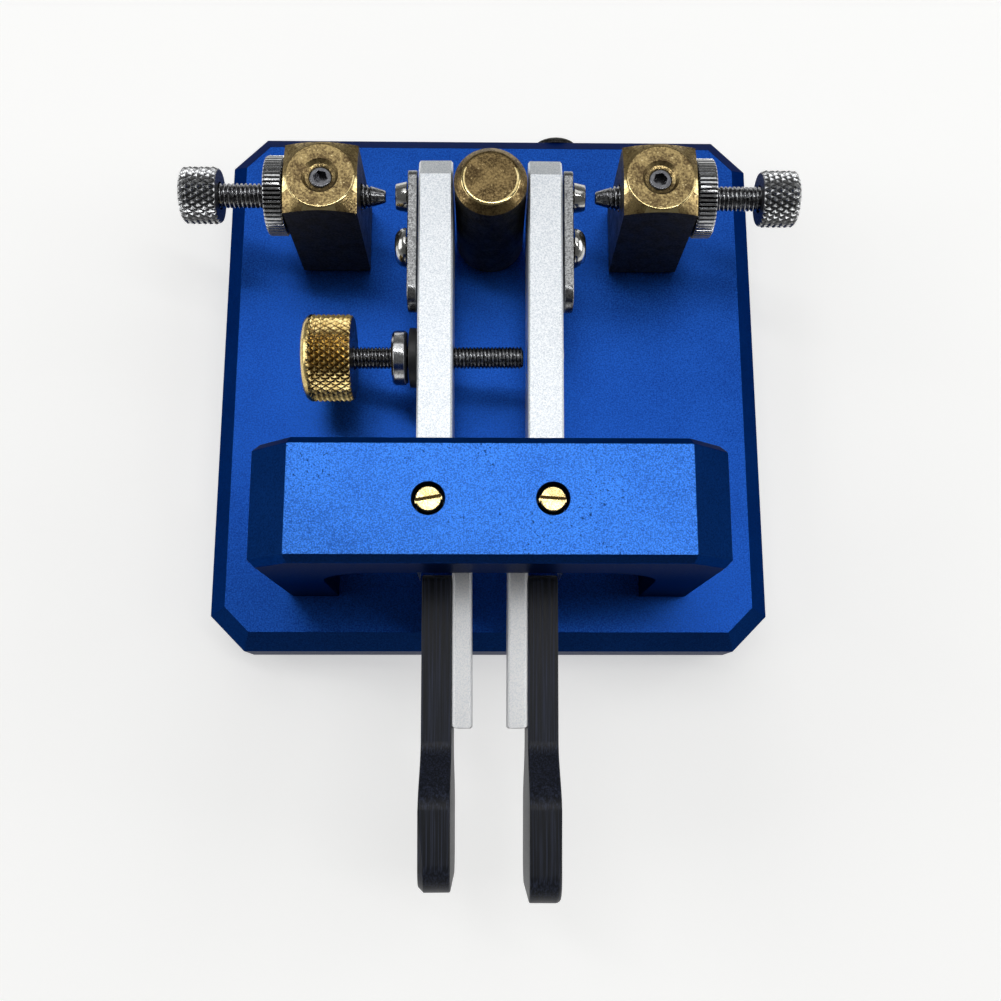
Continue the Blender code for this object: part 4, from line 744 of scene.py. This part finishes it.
def makeBody():
    for node, material, edge in (("base", blue, 0.10), ("bridge", bridgeBlue, 0.08)):
        piece = retouched(node, material, "base", edge)
        # Faces that don't look straight up get the darker side finish, which is painted shade.
        secondFinish(piece, paintedShadeSideBlue, lambda face: face.normal.z < flatTop)
    for node, material, slotName, edge in basePieces:
        retouched(node, material, "base", edge)


foot = {"radius": 4.5, "draft": 0.5, "round": 0.35, "dish": 1.6, "dishDepth": 0.35}  # mm


def makeFeet():
    deep, dish, radius = foot["dishDepth"], foot["dish"], foot["radius"]
    for node in ("front_left_foot", "front_right_foot", "rear_left_foot", "rear_right_foot"):
        low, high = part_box(node)
        height = (high.z - low.z) / mm
        profile = softPath([
            (0, deep), (dish, deep), (dish, 0), (radius - foot["draft"], 0), (radius, height), (0, height),
        ], foot["round"], 4)
        newPiece(node, lathe(node, inMm(profile), 64), rubber, "base", standPlace(node))


# Posts

centrePost = {
    "chamfer": 1.0, "rimRadius": 1.2, "rimTilt": 26, "rimSteps": 8,  # mm, degrees
    "rubbedAndHighlit": (0.90, 0.999), "highlitTo": 0.3,  # how far up the rubbed faces with a painted highlight look, share of the radius
}


def makeCentrePost():
    low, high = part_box("centre_post")
    radius, height = (high.x - low.x) / 2, high.z - low.z
    cut, rim = centrePost["chamfer"] * mm, centrePost["rimRadius"] * mm
    tilt, steps = math.radians(centrePost["rimTilt"]), centrePost["rimSteps"]
    drop = rim * (1 - math.cos(tilt))  # the chamfer meets the top in a long soft edge
    flat = radius - cut - rim * math.sin(tilt)
    profile = [(0, 0), (radius, 0), (radius, height - cut - drop)]
    for step in range(steps + 1):
        lean = tilt * (1 - step / steps)
        profile.append((flat + rim * math.sin(lean), height - rim * (1 - math.cos(lean))))
    mesh = lathe("centre_post", profile + [(0, height)], 128)
    post = newPiece("centre_post", mesh, dullBrass, "base", standPlace("centre_post"))

    # Faces of the rolled rim on the operator's side: rubbed smooth, with a painted highlight.
    def rubbedAndHighlit(face):
        least, most = centrePost["rubbedAndHighlit"]
        return least < face.normal.z < most and face.center.y < centrePost["highlitTo"] * radius

    # A painted highlight on the rubbed rim, and painted shade on the upright sides.
    secondFinish(post, rubbedBrassPaintedHighlight, rubbedAndHighlit)
    secondFinish(post, paintedShadeSideBrass, upright)


contactPost = {
    "disc": 4.75, "slope": 25.0, "edge": 0.10, "screwHole": 1.9, "setHole": 1.60, "setHoleFloor": 1.1,
    "mouth": 2.5, "ledge": 2.05, "mouthDepth": 0.60, "dish": 0.06, "crown": 0.10, "rim": 0.30, "rimSteps": 8,
    "rubbedAndHighlit": (0.90, 0.998), "highlitIn": 1.2, "thin": 0.2,  # share of the rim's width, mm2
}


def makeContactPost(name, side):
    node = name + "_contact_post"
    low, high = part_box(node)
    half, height = (high.x - low.x) / 2, high.z - low.z
    disc, crown, rim, mouth, ledge, bore = (
        contactPost[key] * mm for key in ("disc", "crown", "rim", "mouth", "ledge", "setHole")
    )
    wide = half * 2
    drop = (wide - disc) * math.tan(math.radians(contactPost["slope"]))
    profile = [(0, -over), (wide, -over), (wide, height - crown - drop)]
    steps = contactPost["rimSteps"]
    for step in range(steps + 1):  # the turned top rolls over its rim
        share = 1 - step / steps
        profile.append((disc - rim * (1 - share), height - crown * share ** 2))
    envelope = lathe("envelope", profile + [(0, height)], 128)
    shaped = carve(prism(node, rectangle(half, half), 0, height, "XY"), [envelope], "INTERSECT")

    axisHeight = middleOf(name + "_contact_screw").z - low.z
    through = moved(
        cylinder(contactPost["screwHole"] * mm, -half - over, half + over),
        Matrix.Translation((0, 0, axisHeight)) @ facing(1),
    )
    setHole = cylinder(bore, axisHeight + contactPost["setHoleFloor"] * mm, height + over)
    flareFloor = height - contactPost["mouthDepth"] * mm
    dishFloor = flareFloor - contactPost["dish"] * mm
    flare = lathe("flare", [
        (0, dishFloor), (bore, dishFloor), (ledge, flareFloor), (mouth, height), (mouth, height + over),
        (0, height + over),
    ], 96)
    mesh = soften(carve(shaped, [through, setHole, flare]), contactPost["edge"])
    post = newPiece(node, mesh, turnedBrass, "base", standPlace(node))

    def rubbedAndHighlit(face):
        # The thin faces of the rolled rim, on the operator's side: rubbed smooth, with a painted highlight.
        least, most = contactPost["rubbedAndHighlit"]
        outside = math.hypot(face.center.x, face.center.y) > disc - contactPost["highlitIn"] * rim
        thin = face.area < contactPost["thin"] * mm ** 2
        return least < face.normal.z < most and face.center.y < 0 and outside and thin

    # A painted highlight on the rubbed rim, and painted shade on the upright sides.
    secondFinish(post, rubbedBrassPaintedHighlight, rubbedAndHighlit)
    secondFinish(post, paintedShadeSideBrass, upright)


setScrew = {
    "radius": 1.57, "round": 0.30, "flats": 1.7, "socketDepth": 1.4, "raised": 0.12, "edge": 0.04,  # mm
    "turn": 12.0,  # degrees
}


def makeSetScrew(name, side):
    node = name + "_set_screw"
    low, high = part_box(node)
    length, radius = high.z - low.z + setScrew["raised"] * mm, setScrew["radius"] * mm
    profile = softPath([(0, 0), (radius, 0), (radius, length), (0, length)], setScrew["round"] * mm, 4)
    socket = hexPrism(setScrew["flats"] * mm, length - setScrew["socketDepth"] * mm, length + over)
    mesh = soften(carve(lathe(node, profile, 64), [socket]), setScrew["edge"], angle=crisp)
    place = standPlace(node) @ Matrix.Rotation(math.radians(setScrew["turn"] * side), 4, "Z")
    newPiece(node, mesh, socketSteel, name + "_locking_screw", place)


# Contact screws, knobs and lock nuts, in mm

contactScrew = {
    "radius": 1.68, "pitch": 0.60, "depth": 0.28, "flank": 1.5, "columns": 48, "rowsPerTurn": 12,
    "tipRadius": 0.8, "tipLength": 2.9, "tipEdge": 0.15, "tipRound": 0.12,
    "smooth": 1.7, "runOut": 0.5,  # where the thread starts behind the cone, and how fast
}
contactKnob = {
    "radius": 3.9, "length": 5.2, "diamonds": 26, "pitch": 1.6, "depth": 0.42, "innerChamfer": 0.35,
    "rimAlong": 0.8, "rimIn": 0.9, "band": -1, "fade": 0.15, "fineness": 16, "rowsPerPitch": 18,
    "grooveShare": 0.9, "bore": 1.9, "boreDepth": 3.5, "plainFrom": 4.4,
}
lockNut = {
    "radius": 5.42, "length": 2.6, "teeth": 56, "depth": 0.50, "crest": 0.42, "chamfer": 0.3, "bore": 1.95,
    "columnsPerTooth": 10, "rimSteps": 5, "plainFrom": 9.0,  # past its end: the teeth run right across
}
shadeTo = {"thread": 60, "knurl": 28, "teeth": 30}  # degrees between faces that still shade as one
# The knob's knurl and the nut's teeth carry painted shade in their grooves.
knurledSteel = makeGrained("knurledSteel", steelLook, contactKnob)
toothedSteel = makeGrained("toothedSteel", steelLook, lockNut)


def makeContactScrew(name, side):
    screw, knob, nut = (name + ending for ending in ("_contact_screw", "_contact_knob", "_lock_nut"))
    low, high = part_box(screw)
    start, end = sorted((abs(low.x), abs(high.x)))
    tip, full, taper, smooth, runOut, tipEdge, tipRound = (contactScrew[key] * mm for key in (
        "tipRadius", "radius", "tipLength", "smooth", "runOut", "tipEdge", "tipRound",
    ))

    def envelope(height):
        share = min(1.0, (height - start) / taper)
        edge = min(0.0, (height - start) / tipEdge - 1) * tipRound
        left = min(1.0, max(0.0, (height - start - smooth) / runOut))
        return tip + (full - tip) * share + edge, left

    def onAxis(distance):
        # The screw's own direction, from so far out of the key's middle.
        spot = Vector((side * distance, (low.y + high.y) / 2, (low.z + high.z) / 2))
        return Matrix.Translation(spot) @ facing(side)

    def innerEnd(node):
        return min(abs(corner.x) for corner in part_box(node))

    mesh, place = threadedRod(screw, start, end, contactScrew, envelope), onAxis(0)
    newPiece(screw, mesh, threadSteel, name + "_contact_rod", place, shadeTo["thread"])
    mesh, place = knurledKnob(knob, contactKnob), onAxis(innerEnd(knob))
    piece = newPiece(knob, mesh, knurledSteel, name + "_contact_grip", place, shadeTo["knurl"])
    # painted shade on the knob's inner face
    secondFinish(piece, paintedShadeSteel, innerFace)
    mesh, place = makeToothedNut(nut), onAxis(innerEnd(nut))
    newPiece(nut, mesh, toothedSteel, name + "_nut", place, shadeTo["teeth"])


def makeToothedNut(node):
    radius, length, cut, bore, depth = (
        lockNut[key] * mm for key in ("radius", "length", "chamfer", "bore", "depth")
    )
    columns = lockNut["teeth"] * lockNut["columnsPerTooth"]

    def toothed(limit):
        def reachAt(angle):
            phase = (lockNut["teeth"] * angle / (2 * math.pi)) % 1.0
            wave = abs(2 * phase - 1)  # 1 in the groove, 0 on the crest
            deep = max(0.0, (wave - lockNut["crest"]) / (1 - lockNut["crest"]))
            return min(limit, radius - depth * deep)
        return reachAt

    turns = quarterTurn(lockNut["rimSteps"])
    levels = [(cut * (1 - math.cos(turn)), turn) for turn in turns]
    levels += [(length - cut * (1 - math.cos(turn)), turn) for turn in reversed(turns)]
    rings = [ring(columns, 0, lambda angle: bore)]
    for height, turn in levels:
        rings.append(ring(columns, height, toothed(radius - cut * (1 - math.sin(turn)))))
    rings.append(ring(columns, length, lambda angle: bore))
    return gridShell(node, rings + [rings[0]], caps=False)


# Arms with what they carry, in mm

armLook = {
    "edge": 0.05, "screwEdge": 0.08, "halfWidth": 2.35, "carrierGap": 0.2, "front": 6.3,
    "carrierFit": 0.18,  # the carrier's outer face, brought against the arm
    "frontCut": 1.90,  # the arm's front end stops behind the bridge's face
}
fingerPlate = {
    "left": 45.0, "right": 46.2, "thickness": 3.81, "gap": 0.19, "tabHalf": 6.0, "rear": 6.8,
    "flareStart": 27.5, "flareEnd": 35.5, "flareSteps": 16, "rise": 5.8, "corner": 3.5, "tabCorner": 1.0,
    "edge": 0.22, "edgeSteps": 3, "frontEdge": 0.65, "frontPast": 0.2, "leftFrontSteps": 1,
    "rightFrontSteps": 4,
    "screws": (13.1, 22.1), "screwHole": 1.45, "holeHalf": 6.0, "sunk": 2.4, "sunkDepth": 1.5,
}
contactStrip = {
    "inner": 2.55, "thickness": 1.3, "height": 5.6, "front": 29.9, "rear": 49.9, "rearCorner": 1.3,
    "edge": 0.16,
}
pin = {"base": 2.1, "tip": 1.75, "length": 1.8, "round": 0.15, "reach": 46.8, "rivet": 1.0, "sunk": 0.2}
stripScrew = {
    "reach": 39.2, "head": 2.75, "length": 1.6, "flat": 1.2, "flats": 2.0, "socketDepth": 0.9, "shank": 1.5,
    "sunk": 0.2, "lip": 0.1, "domeSteps": 10, "edge": 0.04,
}


def plateOutline(reach):
    tab, corner, tabCorner, rise = (fingerPlate[key] for key in ("tabHalf", "corner", "tabCorner", "rise"))
    start, steps = fingerPlate["flareStart"], fingerPlate["flareSteps"]
    upper = arc((-fingerPlate["rear"] - tabCorner, tab - tabCorner), tabCorner, 0, 90, 5)
    for step in range(steps + 1):
        share = step / steps
        lift = (1 - math.cos(math.pi * share)) / 2
        upper.append((-start - (fingerPlate["flareEnd"] - start) * share, tab + rise * lift))
    upper += arc((-reach + corner, tab + rise - corner), corner, 90, 180, 12)
    return upper + [(y, -z) for y, z in reversed(upper)]


def makeFingerPlate(name, side):
    node = name + "_finger_plate"
    reach, near = fingerPlate[name], 0.01 * mm
    inner = -side * (armLook["halfWidth"] + armLook["carrierGap"] - fingerPlate["gap"]) * mm
    outer = inner + side * fingerPlate["thickness"] * mm
    bm = bmesh.new()
    bm.from_mesh(prism(node, inMm(plateOutline(reach)), min(inner, outer), max(inner, outer), "YZ"))
    frontLine = (-reach + fingerPlate["corner"] + fingerPlate["frontPast"]) * mm
    frontEdges, otherEdges = [], []
    for edge in bm.edges:
        first, second = edge.verts[0].co, edge.verts[1].co
        if abs(first.x - second.x) > near:
            continue
        outside = abs(first.x - outer) < near and max(first.y, second.y) < frontLine
        (frontEdges if outside else otherEdges).append(edge)
    roundEdges(bm, frontEdges, fingerPlate["frontEdge"], fingerPlate[name + "FrontSteps"])
    otherEdges = [edge for edge in otherEdges if edge.is_valid]
    roundEdges(bm, otherEdges, fingerPlate["edge"], fingerPlate["edgeSteps"])
    cutters = []
    holeHalf, sunkDepth = fingerPlate["holeHalf"] * mm, fingerPlate["sunkDepth"] * mm
    for along in fingerPlate["screws"]:
        hole = cylinder(fingerPlate["screwHole"] * mm, -holeHalf, holeHalf)
        cutters.append(moved(hole, Matrix.Translation((0, -along * mm, 0)) @ facing(1)))
        sunk = cylinder(fingerPlate["sunk"] * mm, 0, sunkDepth + over)
        place = Matrix.Translation((outer - side * sunkDepth, -along * mm, 0)) @ facing(side)
        cutters.append(moved(sunk, place))
    mesh = carve(meshFrom(bm, node), cutters)
    newPiece(node, mesh, blackPlate, name + "_paddle", armPlace(name, side))


def makeContactStrip(name, side):
    body, place = name + "_paddle", armPlace(name, side)
    half, corner = contactStrip["height"] / 2, contactStrip["rearCorner"]
    rear = contactStrip["rear"] - corner
    outline = arc((contactStrip["front"] + half, 0), half, 90, 270, 24)
    outline += arc((rear, -half + corner), corner, 270, 360, 8)
    outline += arc((rear, half - corner), corner, 0, 90, 8)
    inner = side * contactStrip["inner"] * mm
    outer = inner + side * contactStrip["thickness"] * mm
    height = middleOf(name + "_contact_screw").z - pivots[name].z
    blank = prism(name + "_contact_strip", inMm(outline), min(inner, outer), max(inner, outer), "YZ")
    mesh = moved(soften(blank, contactStrip["edge"], 3, crisp), Matrix.Translation((0, 0, height)))
    newPiece(name + "_contact_strip", mesh, dullNickel, body, place)

    def onStrip(reach):
        return place @ Matrix.Translation((outer, reach * mm, height)) @ facing(side)

    sunk, rivet, length = pin["sunk"], pin["rivet"], pin["length"]
    profile = softPath([
        (0, -sunk), (rivet, -sunk), (rivet, sunk), (pin["base"], sunk), (pin["tip"], length), (0, length),
    ], pin["round"], 3)
    mesh = lathe(name + "_contact_pin", inMm(profile), 64)
    newPiece(name + "_contact_pin", mesh, nickel, body, onStrip(pin["reach"]))

    head, flat, length, shank, sunk = (stripScrew[key] for key in ("head", "flat", "length", "shank", "sunk"))
    profile = [(0, -sunk), (shank, -sunk), (shank, sunk), (head - stripScrew["lip"], sunk)]
    profile += [(flat + (head - flat) * math.cos(turn), sunk + length * math.sin(turn))
                for turn in quarterTurn(stripScrew["domeSteps"])]
    button = lathe(name + "_strip_screw", inMm(profile + [(0, sunk + length)]), 64)
    top = (sunk + length) * mm
    socket = hexPrism(stripScrew["flats"] * mm, top - stripScrew["socketDepth"] * mm, top + over)
    mesh = soften(carve(button, [socket]), stripScrew["edge"], angle=crisp)
    newPiece(name + "_strip_screw", mesh, nickel, body, onStrip(stripScrew["reach"]))


def makeArm(name, side):
    body, place, edge = name + "_paddle", armPlace(name, side), armLook["edge"]
    bar = shifted(name + "_arm", place, 1, -armLook["front"], armLook["frontCut"])
    retouched(name + "_arm", clear, body, edge, bar)
    face = -side * (armLook["halfWidth"] + armLook["carrierGap"])
    strip = shifted(name + "_carrier_strip", place, 0, face, side * armLook["carrierFit"])
    # The carriers' whiter finish is painted light.
    retouched(name + "_carrier_strip", paintedLightStrip, body, edge, strip)
    for end in ("front", "rear"):
        retouched(f"{name}_{end}_carrier_screw", plated, body, armLook["screwEdge"])
        retouched(f"{name}_{end}_finger_screw", blackSteel, body, armLook["screwEdge"])
    makeFingerPlate(name, side)
    makeContactStrip(name, side)


# Pivot screws, in mm and degrees

pivotScrew = {
    "radius": 1.6, "chamfer": 0.18, "cone": 3.0, "round": 0.06, "slot": 0.6, "slotDepth": 1.0, "edge": 0.04,
    "leftTurn": 10.0, "rightTurn": -4.0,
}


def makePivotScrews(name, side):
    radius, cut, cone = (pivotScrew[key] * mm for key in ("radius", "chamfer", "cone"))
    turn = Matrix.Rotation(math.radians(pivotScrew[name + "Turn"]), 4, "Z")
    for end, body in (("upper", name + "_pivot"), ("lower", "base")):
        node = f"{name}_{end}_pivot_screw"
        low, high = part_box(node)
        length = high.z - low.z
        profile = softPath([
            (0, -length), (radius, -length + cone), (radius, -cut), (radius - cut, 0), (0, 0),
        ], pivotScrew["round"] * mm, 2)
        outline = rectangle(radius + over, pivotScrew["slot"] / 2 * mm)
        slot = prism("slot", outline, -pivotScrew["slotDepth"] * mm, over, "XY")
        mesh = soften(carve(lathe(node, profile, 64), [slot]), pivotScrew["edge"], angle=crisp)
        head = Matrix.Translation((0, 0, length)) if end == "upper" else Matrix.Rotation(math.pi, 4, "X")
        newPiece(node, mesh, pivotBrass, body, standPlace(node) @ head @ turn)


# Tension screw, in mm

tensionRod = {
    "radius": 1.5, "pitch": 0.5, "depth": 0.26, "flank": 1.5, "chamfer": 0.3, "columns": 40,
    "rowsPerTurn": 12, "reach": 24.15,  # behind the pivots
}
tensionKnob = {
    "radius": 6.0, "length": 6.7, "diamonds": 36, "pitch": 1.34, "depth": 0.48, "innerChamfer": 0.35,
    "rimAlong": 1.1, "rimIn": 1.5, "band": 1.0, "fade": 0.3, "fineness": 14, "rowsPerPitch": 14,
    "grooveShare": 0.95, "bore": 1.7, "boreDepth": 4.5, "plainFrom": 5.7,
}
collar = {"radius": 3.75, "length": 2.1, "chamfer": 0.35, "bore": 1.65, "round": 0.08, "segments": 96}
washer = {"inner": 2.55, "radius": 4.1, "thickness": 1.1, "round": 0.15, "bore": 1.7}
magnet = {"radius": 2.5, "chamfer": 0.3, "bore": 0, "round": 0.1, "segments": 64}
# The knob's knurl carries painted shade in its grooves.
knobBrass = makeBrass("knurledBrass", knobBrassLook, knurl=tensionKnob)


def makeTensionScrew():
    reach = tensionRod["reach"] * mm
    place = armPlace("left", -1) @ Matrix.Translation((0, reach, 0)) @ facing(-1)
    middle = place.translation.x
    rodLow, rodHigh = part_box("tension_rod")
    tip, end = middle - rodHigh.x, middle - rodLow.x
    full, cut = tensionRod["radius"] * mm, tensionRod["chamfer"] * mm

    def envelope(height):
        return full - cut + min(cut, height - tip, end - height), 1.0

    def along(distance):
        return place @ Matrix.Translation((0, 0, distance))

    def fromMiddle(node):
        return along(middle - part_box(node)[1].x)

    mesh = threadedRod("tension_rod", tip, end, tensionRod, envelope)
    newPiece("tension_rod", mesh, threadSteel, "tension_screw", place, shadeTo["thread"])
    mesh, spot = knurledKnob("tension_knob", tensionKnob), fromMiddle("tension_knob")
    knob = newPiece("tension_knob", mesh, knobBrass, "tension_grip", spot, shadeTo["knurl"])
    # painted shade on the knob's inner face
    secondFinish(knob, paintedShadeBrass, innerFace)
    mesh = turnedDisc("tension_collar", collar)
    newPiece("tension_collar", mesh, plated, "tension_nut", fromMiddle("tension_collar"))

    bore, radius, thick = (washer[key] for key in ("bore", "radius", "thickness"))
    profile = softPath([(bore, 0), (radius, 0), (radius, thick), (bore, thick)], washer["round"], 3)
    mesh = lathe("tension_washer", inMm(profile), 96)
    newPiece("tension_washer", mesh, nylon, "left_paddle", along(washer["inner"] * mm))

    low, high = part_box("tension_magnet")
    mesh = turnedDisc("tension_magnet", {**magnet, "length": (high.x - low.x) / mm})
    place = armPlace("right", 1) @ Matrix.Translation((-armLook["halfWidth"] * mm, reach, 0)) @ facing(1)
    newPiece("tension_magnet", mesh, nickel, "right_paddle", place)


makeBody()
makeFeet()
print("base, bridge, jack and feet dressed")
makeCentrePost()
for name, side in sides:
    makeContactPost(name, side)
    makeSetScrew(name, side)
    makeContactScrew(name, side)
print("posts and contact screws dressed")
for name, side in sides:
    makeArm(name, side)
    makePivotScrews(name, side)
makeTensionScrew()
print("arms, pivots and tension screw dressed")


# Floor, light and world

studio = {
    "floor": "d9d9d7",
    "floorSize": 3.0,
    "floorLift": 0.50,  # white added to the floor where the camera or a gloss sees it
    "dims": (0.20, 0.55),  # heights in the sky between which it dims
    "glow": (0.32, 0.12),  # its strength below and above them
    "aim": (0, 0, 0.02),  # where the lamps point
    "backdrop": "f7f7f5",
}


def makeFloor():
    half = studio["floorSize"] / 2
    bm = bmesh.new()
    bm.faces.new([bm.verts.new((x, y, 0)) for x, y in rectangle(half, half)])
    mesh = newMesh(bm, "floor")
    floor = put("floor", mesh)
    material = bpy.data.materials.new("paleFloor")
    material.use_nodes = True
    rays = addNode(material, "LightPath").outputs
    seen = addNode(material, "Math", {
        0: rays["Is Camera Ray"], 1: rays["Is Glossy Ray"],
    }, operation="ADD", use_clamp=True)
    lift = addNode(material, "Math", {0: seen, 1: studio["floorLift"]}, operation="MULTIPLY")
    fill(material, material.node_tree.nodes["Principled BSDF"], {
        "Base Color": studio["floor"], "Roughness": 0.9, "Specular IOR Level": 0.1,
        "Emission Color": "ffffff", "Emission Strength": lift,
    })
    mesh.materials.append(material)


def makeWorld():
    world = bpy.data.worlds.new("softStudio")
    world.use_nodes = True
    scene.world = world
    coords = addNode(world, "TexCoord").outputs["Generated"]
    height = addNode(world, "SeparateXYZ", {0: coords}).outputs["Z"]
    level = addNode(world, "MapRange", {
        "Value": height, **span("From", studio["dims"]), **span("To", studio["glow"]),
    }, interpolation_type="SMOOTHSTEP")
    fill(world, world.node_tree.nodes["Background"], {"Color": studio["backdrop"], "Strength": level})


lamps = (
    # name, place, width, depth, watts
    ("front", (0.06, 0.145, 0.92), 0.95, 0.06, 1.65),
    ("rear", (0.06, 0.50, 0.88), 1.00, 0.44, 1.40),
    ("leftFill", (-0.90, 0.10, 0.55), 0.80, 0.60, 3.1),
    ("rightFill", (0.90, 0.10, 0.55), 0.80, 0.60, 3.1),
)


def makeLamps():
    for name, place, width, depth, watts in lamps:
        data = bpy.data.lights.new(name, "AREA")
        data.shape = "RECTANGLE"
        data.size = width
        data.size_y = depth
        data.energy = watts
        lamp = put(name, data)
        lamp.location = place
        aim = Vector(studio["aim"]) - Vector(place)
        lamp.rotation_euler = aim.to_track_quat("-Z", "Y").to_euler()


makeFloor()
makeWorld()
makeLamps()
scene.view_settings.view_transform = "Standard"
print("floor and light set")
